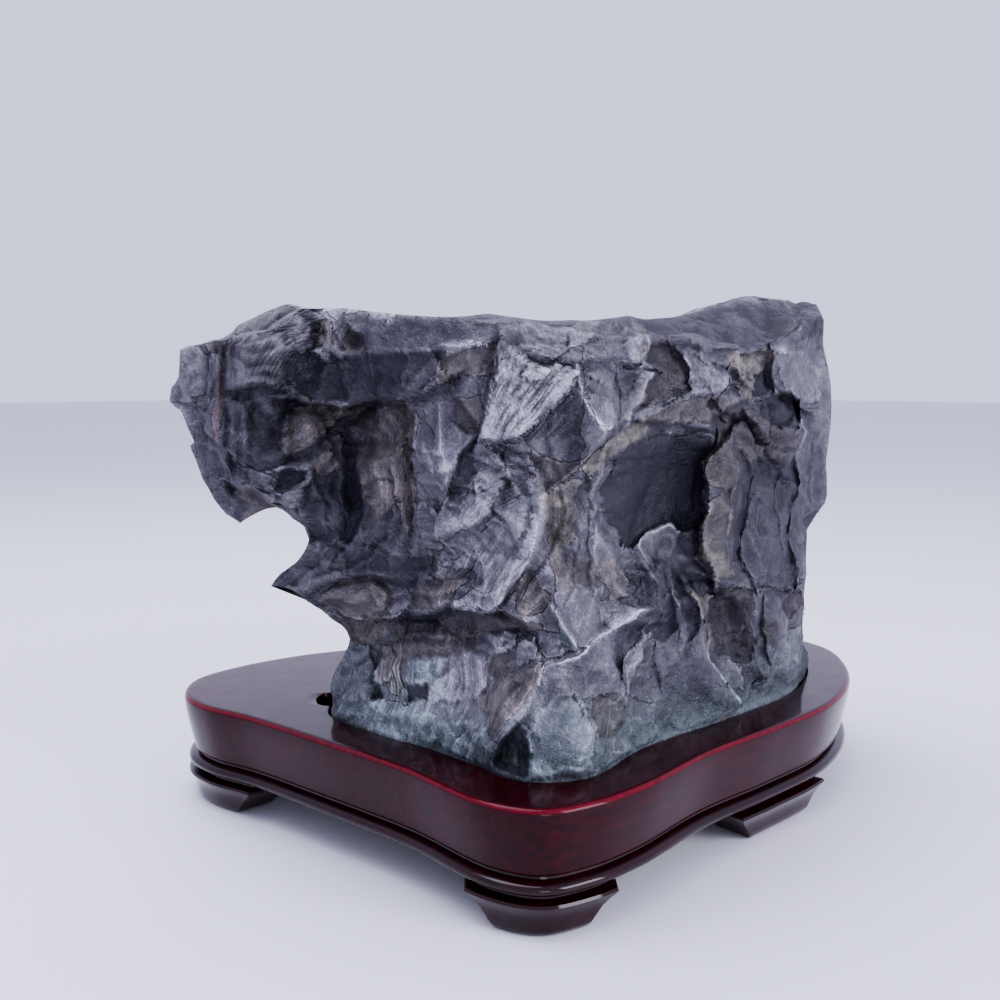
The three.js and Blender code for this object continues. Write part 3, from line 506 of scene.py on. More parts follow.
def strandMasks(px, py, points, seen):  # the phase and depth of the finest strands, from the nearest patch
    wander = noiseAt(points, 6.0, shift=3.0) * 7
    hiddenPhase = (points @ np.array([0.9, -0.5, 0.12])) / 1.1 + noiseAt(points, 9.0, shift=8.0) * 5
    bestPhase, best, second = hiddenPhase, np.full(px.shape, 0.15), np.zeros(px.shape)
    for comb in fineCombs:
        phase, reach = combPhase(comb, px, py, wander)
        depth = comb[6] * np.sqrt(reach) * seen
        second = np.where(depth > best, best, np.maximum(second, depth))
        bestPhase = np.where(depth > best, phase, bestPhase)
        best = np.maximum(best, depth)
    return bestPhase, np.clip(best - second * 0.9, 0, 1.3)


# broken planes, one for each of many random middles
breaks = [
    {"size": 13.0, "tiltBy": 0.26, "seed": 1},
    {"size": 6.0, "tiltBy": 0.24, "seed": 2},
    {"size": 2.8, "tiltBy": 0.2, "seed": 3},
]
foldBend = {"length": 17, "share": 0.32, "phases": 9}
# folds: direction, length and height in mm, start
foldings = [
    ((0.9, 0.3, 0.2), 31.0, 1.3, 0.1), ((-0.4, 0.8, 0.45), 25.0, 1.1, 0.45),
    ((0.3, -0.5, 0.8), 21.0, 1.0, 0.7),
    ((0.7, 0.7, -0.15), 15.0, 0.7, 0.3), ((-0.75, 0.5, 0.45), 11.5, 0.5, 0.85),
]


def foldRelief(p):  # broad folds with sharp ridges, each bent a little along its length
    rise = np.zeros(p.shape[:-1])
    for (a, b, c), length, height, start in foldings:
        way = b * p[..., 0] + c * p[..., 1] + a * p[..., 2]
        bend = np.sin(way / (foldBend["length"] / (2 * math.pi)) + start * foldBend["phases"])
        turn = (p @ np.array([a, b, c])) / length + start + foldBend["share"] * bend
        rise += height * (4 * np.abs(turn - np.floor(turn) - 0.5) - 1)
    return rise


def breakRelief(points, size, tiltBy, seed):  # broken planes: relief, a tone for each, the gap to the joints
    low, high = points.reshape(-1, 3).min(0), points.reshape(-1, 3).max(0)
    count = int(np.prod((high - low) / size))
    own = np.random.default_rng(seed)
    middles = own.uniform(low, high, (count, 3))
    slopes = own.normal(0, tiltBy, (count, 3))
    tones = own.uniform(-1, 1, count)
    tree = kdtree.KDTree(count)
    for i, m in enumerate(middles.tolist()):
        tree.insert(m, i)
    tree.balance()
    flat = points.reshape(-1, 3)
    found = [tree.find_n(p, 2) for p in flat.tolist()]
    first = np.array([f[0][1] for f in found])
    second = np.array([f[1][1] for f in found])
    gap = np.array([f[1][2] - f[0][2] for f in found])
    share = 0.5 * (1 - smooth(gap, 0, size * 0.22))
    own1 = np.sum((flat - middles[first]) * slopes[first], 1)
    own2 = np.sum((flat - middles[second]) * slopes[second], 1)
    relief = own1 * (1 - share) + own2 * share
    tone = tones[first] * (1 - share) + tones[second] * share
    joint = gap * np.where(first > second, 1, -1)
    return [values.reshape(points.shape[:-1]) for values in (relief, tone, joint)]


def gridNormals(grid):
    across = np.roll(grid, -1, 1) - np.roll(grid, 1, 1)
    up = np.gradient(grid, axis=0)
    normal = np.cross(across, up)
    return normal / np.maximum(np.linalg.norm(normal, axis=-1, keepdims=True), 1e-9)


def blurred(grid, times):
    for _ in range(times):
        grid = (np.roll(grid, 1, 1) + np.roll(grid, -1, 1) + 2 * grid) / 4
        padded = np.concatenate([grid[:1], grid, grid[-1:]])
        grid = (padded[:-2] + padded[2:] + 2 * grid) / 4
    return grid


# the rock's outline in the photograph, from the stand up its left side, over the top and down its right side
tracedOutline = [
    (329, 1100), (330, 712), (329, 702), (331, 684), (333, 675), (337, 667), (343, 658), (346, 650),
    (352, 644), (350, 639), (345, 627), (336, 622), (326, 615), (320, 609), (310, 604), (304, 598),
    (298, 593), (290, 589), (280, 586), (271, 586), (275, 580), (280, 574), (286, 571), (294, 565),
    (300, 558), (306, 549), (309, 540), (310, 535), (307, 529), (300, 523), (293, 519), (287, 512),
    (279, 508), (273, 506), (268, 508), (254, 514), (246, 519), (240, 523), (234, 516.5), (226, 514),
    (220, 507), (214, 499), (209, 489), (203, 480), (195, 458), (190, 447), (186, 435), (180, 424),
    (172, 413), (167, 404), (170, 397), (171, 388), (178, 380), (179, 370), (180, 350), (187, 346),
    (200, 345), (212, 340), (224, 341), (232, 337), (233, 331), (238, 325), (248, 322), (255, 317),
    (262, 313), (278, 307), (284, 304.5), (291, 304), (297, 307), (305, 309.5), (320, 308.5), (345, 308),
    (358, 310), (375, 312), (395, 314), (418, 316), (445, 317), (465, 317), (475, 315), (488, 313.5),
    (510, 316.5), (525, 318.5), (540, 321), (560, 320.5), (572, 320), (582, 321.5), (602, 319), (620, 317),
    (627, 315.5), (633, 316.5), (640, 320), (655, 318.5), (670, 317.5), (680, 316.5), (688, 312), (697, 308),
    (708, 306.5), (718, 303), (725, 303), (733, 298.5), (745, 296), (755, 296), (763, 298), (788, 300),
    (792, 305), (797, 303), (812, 297.5), (820, 299), (818, 307), (824, 320), (823, 345), (826, 358),
    (829, 372), (831, 385), (831.5, 405), (831, 422), (828, 448), (826, 460), (827, 480), (827, 495),
    (825, 503), (818, 512), (808, 515), (806.7, 519), (807, 538), (806, 558), (806.5, 574), (805, 583),
    (804, 596), (804.5, 608), (803, 614), (798, 621), (802.5, 631), (803.5, 636), (801, 660), (801, 671),
    (806, 690), (806, 1100),
]


# how the hidden side is drawn in: the margin kept, and the rows and columns in px where each way of it holds
hiddenSide = {
    "margin": 1.5, "middle": 500, "below": 352,
    "mouthShare": 0.49, "mouthBelow": 504, "mouthLeftOf": 318,
}


def drawnIn(grid, hidden):  # relief that would show past the traced outline is brought back to it
    margin = hiddenSide["margin"]
    px, py = pixelsOf(grid)
    inside = np.zeros(px.shape, bool)
    best = np.full(px.shape, np.inf)
    goX, goY = np.zeros(px.shape), np.zeros(px.shape)
    rightward, leftward, above = np.full((3, *px.shape), np.inf)
    for (ax, ay), (bx, by) in zip(tracedOutline, tracedOutline[1:] + tracedOutline[:1]):
        share = ((px - ax) * (bx - ax) + (py - ay) * (by - ay)) / ((bx - ax) ** 2 + (by - ay) ** 2)
        held = np.clip(share, 0, 1)
        toX, toY = ax + (bx - ax) * held - px, ay + (by - ay) * held - py
        gap = np.hypot(toX, toY)
        nearer = gap < best
        best, goX, goY = np.where(nearer, gap, best), np.where(nearer, toX, goX), np.where(nearer, toY, goY)
        if ay != by:
            crossed = (ay > py) != (by > py)
            cross = (bx - ax) * (py - ay) / (by - ay) + ax - px
            inside ^= crossed & (cross > 0)
            rightward = np.where(crossed & (cross > 0), np.minimum(rightward, cross), rightward)
            leftward = np.where(crossed & (cross <= 0), np.minimum(leftward, -cross), leftward)
        if ax != bx:
            climb = py - (by - ay) * (px - ax) / (bx - ax) - ay
            above = np.where(((ax > px) != (bx > px)) & (climb > 0), np.minimum(above, climb), above)
    level = np.where(px < hiddenSide["middle"], rightward + margin, -leftward - margin)
    sideways = hidden & (py > hiddenSide["below"]) & np.isfinite(level)
    goX = np.where(sideways, level, goX)
    goY = np.where(sideways, 0, goY + np.where(hidden, margin, 0))
    ringShare = (np.arange(len(grid)) - rock["footRings"]) / (rock["sideRings"] - 1)
    mouth = hidden & (ringShare[:, None] > hiddenSide["mouthShare"]) & np.isfinite(above)
    mouth &= (py > hiddenSide["mouthBelow"]) & (px < hiddenSide["mouthLeftOf"])
    goX, goY = np.where(mouth, 0, goX), np.where(mouth, -above - margin, goY)
    away = grid - eye
    depth = (away @ ahead) * math.cos(tilt) - away[..., 2] * math.sin(tilt)
    scale = np.where(inside, 0, depth / photoView["focal"])
    scale *= smooth(grid[..., 2], rock["standTop"] + 0.5, rock["standTop"] + 4)
    upward = ahead * math.sin(tilt) + np.array([0, 0, math.cos(tilt)])
    return grid + aside * (goX * scale)[..., None] - upward * (goY * scale)[..., None]


def rockGrid():  # rings from the middle of the underside to the middle of the top
    place = columnPlaces()
    share = np.linspace(0, 1, rock["sideRings"])
    side = sidePoints(place, share)
    foot = side[0].copy()
    foot[:, 2] = rock["seatFloor"]
    middle = np.array([*rock["topMiddle"], rock["seatFloor"]])
    under = [foot + (middle - foot) * (1 - k / rock["footRings"]) for k in range(1, rock["footRings"] + 1)]
    side[0, :, 2] = rock["standTop"]
    inShare = (np.arange(rock["topRings"]) + 1) / (rock["topRings"] + 1)
    top = topPoints(side[-1], inShare ** rock["topCrowding"])
    return np.concatenate([np.array(under), side, top])


# smooth parts of the rock: middle and half size in px, and how much of the broken relief goes there
calmRegions = [
    (690, 680, 70, 80, 0.9), (580, 625, 50, 60, 0.8), (565, 735, 60, 60, 0.9), (430, 350, 130, 60, 0.7),
    (800, 370, 40, 70, 0.8), (605, 390, 50, 60, 0.8), (770, 530, 60, 90, 0.7), (450, 430, 60, 70, 0.8),
    (655, 490, 60, 70, 0.7), (430, 700, 130, 90, 0.6), (560, 430, 50, 70, 0.8), (525, 400, 60, 60, 0.8),
    (350, 605, 50, 34, 0.7),
]


# how strongly each relief is laid on: in mm or as a share, and where there are two, hidden and shown
rockRelief = {
    "mainStrokes": 1.15, "fineStrokes": 0.8, "folds": (0.7, 0.3), "planes": (0.95, 0.4), "smallPlanes": 0.65,
    "ridges": (0.3, 0.15), "crumbs": 0.07, "grit": 0.04, "outlineSwell": 0.55, "outlineCalm": 0.6,
}


def between(ends, share):  # a value on the way from one end to the other
    return ends[0] + (ends[1] - ends[0]) * share


def carveRock(grid):
    normal = gridNormals(blurred(grid, 3))
    toEye = eye - grid
    toEye /= np.linalg.norm(toEye, axis=-1, keepdims=True)
    facing = np.sum(normal * toEye, -1)
    clear = smooth(grid[..., 2], rock["standTop"], rock["standTop"] + 5)
    clearFine = smooth(grid[..., 2], rock["standTop"] - 0.2, rock["standTop"] + 1.5)
    px, py = pixelsOf(grid)
    seen = smooth(facing, 0.02, 0.3)
    main = strokeRelief(mainStrokes, px, py, 5, 24) + swellingRelief(mainSwellings, px, py)
    fine = strokeRelief(fineStrokes, px, py, 2, 9, 1.3) + swellingRelief(fineSwellings, px, py)
    drawn = rockRelief["mainStrokes"] * main * clear
    comb = combRelief(px, py, grid)
    wobble = noiseAt(grid, 3.0, shift=77.0) * 5 + noiseAt(grid, 0.9, shift=35.0) * 3
    flat, laid = layFacets(px + wobble, py - wobble, seen)
    folds = foldRelief(grid) * between(rockRelief["folds"], smooth(facing, -0.35, 0.15))
    shown = smooth(facing, -0.3, 0.2)
    onTop = smooth(normal[..., 2], 0.4, 0.8)
    broken = [breakRelief(grid, **b) for b in breaks]
    crag = (broken[0][0] + broken[1][0]) * between(rockRelief["planes"], np.maximum(shown, 0.8 * onTop))
    crag += broken[2][0] * rockRelief["smallPlanes"]
    laid["patch"], laid["joint"] = broken[0][1] + 0.6 * broken[1][1], broken[0][2] * 1.5
    crag += ridgesAt(grid, 9.0, 4) * between(rockRelief["ridges"], np.maximum(shown, 0.7 * onTop))
    edgeOn = 1 - smooth(np.abs(facing), 0.1, 0.4)
    crag *= 1 - np.clip(swellingRelief(calmRegions, px, py), 0, 0.85) * seen
    crag *= 1 - rockRelief["outlineCalm"] * edgeOn
    crag += noiseAt(grid, 1.3) * rockRelief["crumbs"] + noiseAt(grid, 0.7, shift=5.0) * rockRelief["grit"]
    rim = rockRelief["outlineSwell"] * edgeOn * clear
    drawn += (rockRelief["fineStrokes"] * fine + comb + flat) * clearFine
    grid = grid + toEye * (seen * drawn)[..., None]
    grid = grid + normal * (folds * clear + crag * clearFine + rim)[..., None]
    return drawnIn(grid, facing < -0.12), px, py, seen, laid


# facets of the rock as seen in the photograph: tone from dark to pale, which is partly the stone's own colour
# and partly painted shade and painted light by how each facet faces and how deep it lies, lift in mm, tint,
# and corners in px
facets = [
    # the head
    (0.05, 0.4, "", [
        (180, 350), (187, 346), (212, 341), (211, 372), (206, 395), (200, 420), (196, 440), (186, 432),
        (172, 412), (167, 403), (171, 390), (178, 380),
    ]),
    (0.3, 0.2, "", [(183, 354), (204, 348), (208, 366), (198, 392), (184, 398), (176, 392), (183, 380)]),
    (-0.15, 0, "", [
        (225, 345), (262, 342), (262, 385), (240, 396), (236, 470), (224, 462), (222, 420), (224, 380),
    ]),
    (0.0, 0.3, "red", [
        (224, 340), (231, 345), (227, 365), (223, 390), (220, 420), (222, 445), (217, 448), (213, 415),
        (211, 385), (219, 360),
    ]),
    (-0.3, -0.3, "brown", [(211, 343), (222, 340), (222, 350), (219, 360), (211, 353)]),
    (0.12, 0, "", [
        (236, 326), (262, 312), (288, 305), (316, 318), (313, 342), (303, 352), (276, 360), (262, 374),
        (262, 342), (240, 340),
    ]),
    (-0.1, -0.4, "", [(244, 346), (262, 352), (280, 372), (284, 388), (262, 384), (248, 388), (240, 370)]),
    (-0.6, -0.5, "", [
        (240, 394), (262, 386), (284, 388), (300, 398), (286, 415), (278, 432), (282, 452), (290, 460),
        (262, 466), (240, 462), (238, 430),
    ]),
    (-0.2, 0.4, "", [(252, 400), (276, 392), (292, 396), (280, 410), (262, 418)]),
    (-0.1, 0.2, "", [(204, 478), (236, 486), (238, 504), (225, 512), (214, 498)]),
    (-0.05, 0.3, "brown", [
        (236, 484), (255, 486), (272, 496), (285, 505), (270, 508), (255, 514), (246, 517), (241, 502),
    ]),
    (-0.7, 0, "", [(238, 500), (246, 503), (248, 517), (240, 523), (233, 516)]),
    (-0.3, 0, "", [(236, 462), (262, 466), (276, 470), (280, 484), (256, 484), (236, 482)]),
    (0.15, 0.4, "", [(276, 463), (292, 461), (306, 468), (313, 478), (300, 470), (288, 465), (276, 468)]),
    (-0.7, -0.8, "", [(275, 469), (288, 466), (301, 470), (299, 482), (286, 485), (272, 479)]),
    (0.2, 0.8, "", [(262, 487), (285, 490), (300, 488), (300, 498), (291, 502), (274, 494)]),
    # the beam and what lies over and under it
    (0.5, 0, "", [
        (297, 308), (345, 308), (395, 313), (440, 317), (440, 321), (390, 320), (345, 317), (316, 318),
        (300, 312),
    ]),
    (0.0, 0.5, "brown", [(316, 316), (331, 317), (331, 345), (322, 352), (311, 343)]),
    (0.65, 0.8, "", [(311, 349), (325, 344), (331, 350), (328, 362), (318, 359), (308, 351)]),
    (-0.35, -0.4, "brown", [(352, 327), (366, 338), (370, 352), (350, 354), (343, 344)]),
    (-0.12, 0.2, "", [(370, 320), (500, 318), (500, 340), (440, 342), (400, 352), (372, 352), (368, 336)]),
    # the beam's underside and the pocket beside it, darkened with painted shade
    (-0.7, -0.4, "", [
        (342, 358), (374, 354), (416, 352), (440, 350), (436, 372), (425, 390), (400, 397), (365, 402),
        (350, 404), (334, 402), (318, 395), (304, 382), (300, 368), (320, 364),
    ]),
    (-0.85, -0.7, "", [(278, 362), (295, 360), (303, 370), (318, 395), (330, 402), (300, 398), (282, 386)]),
    (-0.15, 0, "brown", [(440, 352), (500, 343), (498, 372), (464, 376), (436, 382)]),
    (0.6, 0.3, "", [(440, 346), (465, 342), (487, 341), (488, 346), (465, 350), (444, 355)]),
    (-0.65, -0.3, "", [(346, 358), (366, 356), (366, 370), (352, 366)]),
    # the niche below the beam
    (0.25, 0.8, "brown", [
        (291, 409), (300, 406), (320, 411), (330, 419), (328, 428), (308, 442), (296, 453), (281, 455),
        (275, 444), (281, 428),
    ]),
    (0.3, 0.9, "olive", [
        (300, 400), (308, 396), (320, 404), (338, 408), (352, 407), (366, 404), (356, 412), (340, 418),
        (333, 427), (323, 412), (305, 408),
    ]),
    (0.2, 0.8, "brown", [
        (333, 431), (343, 435), (344, 446), (340, 466), (325, 476), (312, 471), (311, 456), (319, 441),
    ]),
    (0.15, 0.5, "brown", [
        (346, 426), (366, 408), (396, 406), (400, 430), (394, 470), (396, 505), (381, 518), (371, 508),
        (363, 480), (361, 440),
    ]),
    (0.25, 0.4, "brown", [
        (384, 400), (404, 401), (414, 409), (418, 420), (418, 450), (414, 480), (411, 510), (409, 538),
        (399, 533), (395, 505), (392, 470), (400, 430),
    ]),
    (-0.65, -0.8, "", [(344, 440), (358, 445), (363, 480), (361, 520), (350, 546), (341, 532), (344, 480)]),
    (0.18, 0.5, "brown", [(370, 484), (390, 479), (396, 504), (381, 516), (370, 502)]),
    (-0.35, -0.3, "", [(305, 476), (342, 474), (344, 520), (334, 548), (312, 528), (304, 500)]),
    (-0.5, -0.4, "", [(316, 482), (330, 482), (332, 496), (318, 497)]),
    (0.0, 0.2, "", [
        (310, 530), (330, 540), (335, 556), (302, 578), (285, 586), (275, 583), (290, 570), (305, 552),
    ]),
    (-0.4, -0.3, "", [(344, 548), (380, 544), (404, 560), (404, 574), (350, 577), (330, 574)]),
    (0.3, 0.3, "", [(396, 520), (408, 540), (412, 560), (404, 566), (396, 548)]),
    (0.15, 0.8, "brown", [
        (322, 600), (322, 591), (336, 585), (350, 579), (378, 579), (388, 592), (387, 605), (378, 615),
        (362, 622), (345, 622), (336, 615), (326, 607),
    ]),
    (0.25, 0.4, "", [(385, 580), (400, 582), (412, 590), (408, 605), (395, 618), (387, 612), (390, 595)]),
    (0.0, 0, "olive", [(338, 623), (362, 624), (385, 613), (380, 630), (377, 642), (352, 642), (347, 630)]),
    (0.15, 0.7, "teal", [(345, 648), (352, 644), (375, 643), (370, 652), (350, 665), (341, 668), (345, 657)]),
    # the flutes and fibres of the lower left
    (-0.35, -0.2, "brown", [
        (385, 628), (400, 618), (430, 616), (440, 610), (460, 612), (480, 615), (505, 612), (530, 625),
        (555, 633), (520, 635), (480, 636), (470, 650), (455, 656), (400, 655), (390, 642),
    ]),
    # the band under the overhang, darkened with painted shade
    (-0.7, -0.3, "", [(392, 622), (400, 616), (430, 614), (446, 603), (478, 606), (462, 614), (430, 622)]),
    (0.0, 0.4, "", [
        (342, 672), (355, 662), (374, 650), (378, 662), (374, 682), (372, 702), (345, 702), (334, 690),
    ]),
    (0.08, 0.8, "brown", [(380, 645), (393, 645), (394, 680), (380, 684), (376, 680)]),
    (-0.05, 0.3, "brown", [(394, 648), (409, 655), (407, 681), (396, 696), (391, 686)]),
    (0.15, 0.5, "teal", [(411, 660), (450, 656), (440, 676), (422, 684), (408, 683)]),
    (0.25, 0.5, "", [
        (431, 682), (450, 670), (460, 655), (478, 652), (485, 665), (481, 690), (470, 702), (440, 701),
        (430, 706),
    ]),
    (-0.9, -1.3, "", [(373, 682), (380, 686), (379, 702), (373, 698)]),
    (-0.8, -1.2, "", [(407, 685), (427, 686), (426, 698), (413, 699), (407, 706)]),
    (0.35, 0, "teal", [
        (345, 706), (380, 701), (405, 705), (430, 702), (440, 741), (420, 745), (390, 738), (360, 724),
    ]),
    (0.1, 0, "", [(430, 706), (470, 702), (490, 720), (500, 745), (495, 766), (470, 760), (440, 744)]),
    (-0.3, 0.3, "brown", [
        (505, 672), (540, 668), (535, 690), (511, 720), (495, 738), (481, 715), (476, 701), (490, 681),
    ]),
    # painted shade around the pale lumps
    (-0.4, -0.3, "brown", [(486, 657), (505, 655), (504, 669), (495, 682), (486, 676)]),
    (0.2, 1.0, "", [(508, 648), (518, 642), (532, 642), (536, 655), (529, 666), (512, 668)]),
    (0.4, 0.8, "", [(483, 641), (498, 634), (513, 636), (506, 650), (493, 656), (486, 650)]),
    # the triangular hollow, darkened with painted shade
    (-0.75, -1.4, "", [(520, 722), (529, 736), (529, 777), (505, 769), (492, 763), (500, 743)]),
    (-0.2, 0.6, "brown", [(500, 748), (514, 742), (522, 764), (506, 764)]),
    # the middle: smooth planes, the combed wedge and the folds below it
    (0.12, 0.3, "", [
        (420, 400), (440, 385), (470, 377), (497, 375), (490, 397), (479, 430), (468, 442), (456, 460),
        (450, 484), (438, 472), (424, 462), (419, 430),
    ]),
    (0.42, 0.2, "", [
        (426, 402), (446, 396), (452, 420), (459, 440), (455, 468), (441, 478), (436, 452), (430, 430),
    ]),
    (-0.1, 0, "brown", [(453, 400), (482, 396), (482, 425), (466, 432), (454, 416)]),
    (0.45, 0.2, "", [
        (505, 325), (530, 321), (560, 328), (600, 325), (588, 343), (566, 350), (552, 362), (536, 352),
        (518, 338),
    ]),
    (-0.1, 0.5, "", [
        (585, 345), (600, 340), (612, 325), (625, 316), (628, 345), (632, 360), (600, 362), (580, 363),
    ]),
    (0.4, 0.4, "", [(628, 317), (638, 325), (645, 345), (646, 367), (632, 357), (628, 340)]),
    (0.2, 0, "", [
        (585, 364), (632, 361), (642, 372), (640, 395), (626, 401), (620, 420), (609, 432), (601, 428),
        (591, 410), (583, 385),
    ]),
    (-0.3, 0, "", [(618, 364), (640, 372), (640, 394), (626, 400), (616, 385)]),
    (0.6, 0, "", [(590, 392), (608, 400), (620, 412), (609, 431), (601, 427), (591, 409)]),
    (-0.05, -0.5, "", [
        (577, 373), (580, 392), (582, 415), (578, 440), (581, 468), (565, 480), (545, 485), (531, 464),
        (522, 441), (546, 416), (560, 400),
    ]),
    (-0.2, 0, "brown", [(534, 454), (560, 462), (578, 458), (580, 470), (565, 480), (545, 485)]),
    (0.6, 0.9, "", [
        (503, 350), (520, 352), (548, 364), (560, 361), (572, 362), (577, 371), (568, 386), (558, 402),
        (541, 415), (520, 437), (498, 441), (478, 437), (486, 412), (494, 391), (500, 372),
    ]),
    (1.5, 0.5, "", [(520, 374), (535, 366), (552, 367), (546, 377), (528, 383)]),
    (-0.4, -0.4, "", [(503, 326), (512, 338), (520, 348), (500, 350)]),
    (0.05, 0.4, "", [
        (478, 441), (500, 455), (513, 466), (508, 481), (500, 497), (470, 490), (454, 483), (457, 462),
        (468, 448),
    ]),
    (-0.25, 0, "", [(503, 443), (530, 450), (539, 463), (530, 476), (516, 489), (511, 470)]),
    (0.18, 0.4, "", [(452, 491), (500, 500), (486, 520), (460, 533), (441, 546), (441, 510)]),
    (-0.02, 0.2, "", [(501, 501), (513, 501), (526, 521), (521, 546), (490, 541), (481, 526)]),
    (0.1, 0.3, "", [(531, 472), (546, 496), (546, 525), (527, 556), (516, 541), (523, 511)]),
    (-0.4, -0.3, "", [(420, 470), (445, 472), (450, 492), (440, 514), (424, 500)]),
    (-0.2, 0, "", [(413, 502), (440, 514), (440, 548), (414, 555)]),
    (-0.8, -0.5, "", [(402, 556), (440, 556), (438, 566), (432, 578), (404, 577)]),
    (0.4, 0.5, "", [
        (440, 562), (475, 553), (530, 561), (520, 586), (500, 606), (470, 612), (446, 607), (482, 584),
        (468, 572),
    ]),
    (-0.05, 0.2, "brown", [(412, 592), (440, 578), (468, 580), (448, 600), (430, 612), (410, 606)]),
    (-0.1, -0.3, "brown", [(531, 565), (540, 576), (546, 600), (541, 616), (522, 612), (521, 590)]),
    # the crumbly band across the middle
    (0.25, 0.8, "olive", [
        (602, 441), (622, 432), (640, 419), (652, 425), (636, 441), (616, 456), (605, 471), (590, 475),
        (583, 464),
    ]),
    (0.2, 0.6, "olive", [(540, 493), (560, 484), (581, 478), (578, 501), (560, 510), (548, 505)]),
    (0.0, 0, "olive", [(546, 508), (578, 504), (575, 540), (560, 560), (548, 540)]),
    (-0.2, -0.3, "", [(582, 482), (606, 476), (610, 520), (596, 545), (580, 540)]),
    (0.65, 0.8, "", [(611, 470), (618, 462), (627, 466), (627, 476), (616, 479)]),
    # the upper right
    (-0.5, -0.9, "brown", [
        (646, 345), (660, 342), (669, 348), (682, 368), (682, 386), (660, 398), (641, 406), (643, 386),
        (651, 365),
    ]),
    (0.22, 0.3, "", [(687, 352), (706, 352), (722, 366), (717, 395), (700, 399), (684, 393), (688, 372)]),
    (0.3, 0.4, "olive", [
        (734, 350), (746, 347), (774, 352), (772, 368), (762, 384), (750, 375), (740, 373), (728, 362),
    ]),
    (-0.7, -0.5, "", [(720, 396), (733, 374), (747, 391), (739, 399)]),
    (-0.7, -0.5, "", [(761, 376), (773, 370), (776, 395), (763, 399)]),
    (0.2, 0.8, "olive", [(742, 375), (752, 372), (760, 386), (758, 398), (748, 402), (742, 391)]),
    (0.3, 0.3, "", [
        (777, 345), (800, 326), (816, 345), (825, 365), (830, 386), (812, 400), (801, 402), (790, 391),
        (778, 376),
    ]),
    (-0.35, 0, "", [(800, 312), (812, 308), (822, 316), (823, 335), (800, 336)]),
    # a hollow darkened with painted shade
    (-0.9, -1.0, "", [
        (776, 395), (790, 392), (801, 406), (799, 422), (792, 430), (775, 424), (762, 414), (765, 400),
    ]),
    (-0.35, -0.5, "brown", [
        (642, 420), (660, 405), (690, 396), (716, 398), (728, 403), (716, 419), (700, 425), (660, 423),
    ]),
    (0.05, 0.4, "brown", [
        (724, 404), (746, 402), (774, 425), (795, 432), (798, 445), (776, 460), (756, 462), (745, 450),
        (736, 436),
    ]),
    (-0.5, -0.4, "", [(746, 468), (770, 462), (797, 455), (797, 479), (776, 490), (758, 481)]),
    # the dark recess, darkened with painted shade
    (-1.25, -1.0, "", [
        (620, 456), (636, 441), (660, 433), (705, 437), (712, 446), (703, 464), (709, 484), (702, 500),
        (701, 531), (684, 531), (670, 524), (652, 530), (641, 549), (625, 545), (616, 520), (610, 490),
    ]),
    # the pillars
    (0.15, 0.6, "olive", [
        (722, 431), (740, 440), (745, 455), (739, 474), (735, 489), (722, 490), (712, 481), (703, 463),
        (709, 450),
    ]),
    (0.15, 0.3, "olive", [
        (707, 500), (722, 491), (726, 515), (727, 545), (735, 575), (715, 579), (703, 560), (702, 525),
    ]),
    (0.1, 0.3, "brown", [(731, 488), (748, 491), (741, 515), (731, 545), (726, 520)]),
    (-0.5, -0.3, "", [(746, 471), (756, 480), (745, 510), (740, 560), (733, 560), (737, 515)]),
    (0.12, 0.3, "", [
        (759, 482), (790, 480), (792, 500), (788, 530), (788, 560), (790, 588), (751, 585), (743, 550),
        (746, 515),
    ]),
    (0.28, 0.2, "", [
        (803, 410), (825, 404), (830, 440), (826, 500), (812, 512), (804, 520), (806, 560), (806, 575),
        (796, 585), (790, 560), (790, 515), (796, 480), (801, 450), (799, 430),
    ]),
    # the skirt
    (0.2, 0.3, "", [
        (552, 590), (575, 588), (604, 586), (606, 632), (590, 646), (580, 650), (562, 622), (550, 606),
    ]),
    (-0.1, 0, "brown", [(548, 558), (604, 560), (603, 585), (556, 589)]),
    (0.1, 0, "teal", [(562, 622), (579, 650), (570, 653), (563, 650)]),
    (0.32, 0, "", [(520, 636), (560, 635), (566, 655), (546, 664), (536, 650)]),
    (0.3, 0.5, "brown", [(604, 562), (622, 559), (626, 575), (625, 594), (618, 600), (606, 586), (602, 575)]),
    (0.35, 0.5, "", [(606, 601), (620, 601), (626, 611), (612, 634), (606, 620)]),
    (-0.55, -0.5, "", [
        (627, 590), (640, 562), (641, 600), (641, 632), (626, 660), (619, 678), (612, 650), (612, 638),
        (626, 613),
    ]),
    (-0.6, -0.3, "", [
        (642, 563), (660, 558), (680, 561), (677, 600), (680, 625), (665, 640), (650, 638), (642, 620),
    ]),
    (-0.1, 0.2, "", [
        (629, 664), (641, 640), (660, 641), (682, 651), (690, 641), (701, 626), (712, 660), (722, 685),
        (738, 703), (700, 700), (640, 702), (623, 690),
    ]),
    (0.3, 0.3, "", [(629, 660), (640, 640), (643, 652), (633, 680), (629, 712), (621, 702), (622, 686)]),
    (-0.55, -0.6, "", [
        (680, 575), (690, 586), (698, 600), (697, 615), (705, 626), (690, 640), (684, 647), (680, 625),
        (678, 600),
    ]),
    (0.1, 0.8, "olive", [
        (690, 590), (700, 598), (712, 598), (714, 620), (714, 655), (710, 640), (705, 626), (698, 615),
    ]),
    (-0.65, -0.5, "brown", [
        (715, 590), (745, 588), (750, 620), (755, 640), (752, 665), (735, 662), (720, 655), (714, 640),
        (714, 610),
    ]),
    (0.45, 0.3, "", [(718, 661), (735, 665), (743, 668), (746, 691), (728, 685)]),
    (0.0, 0.3, "", [
        (748, 590), (782, 592), (778, 620), (775, 650), (771, 690), (757, 690), (756, 650), (750, 620),
    ]),
    (-0.4, -0.2, "brown", [(759, 616), (778, 620), (775, 650), (763, 641)]),
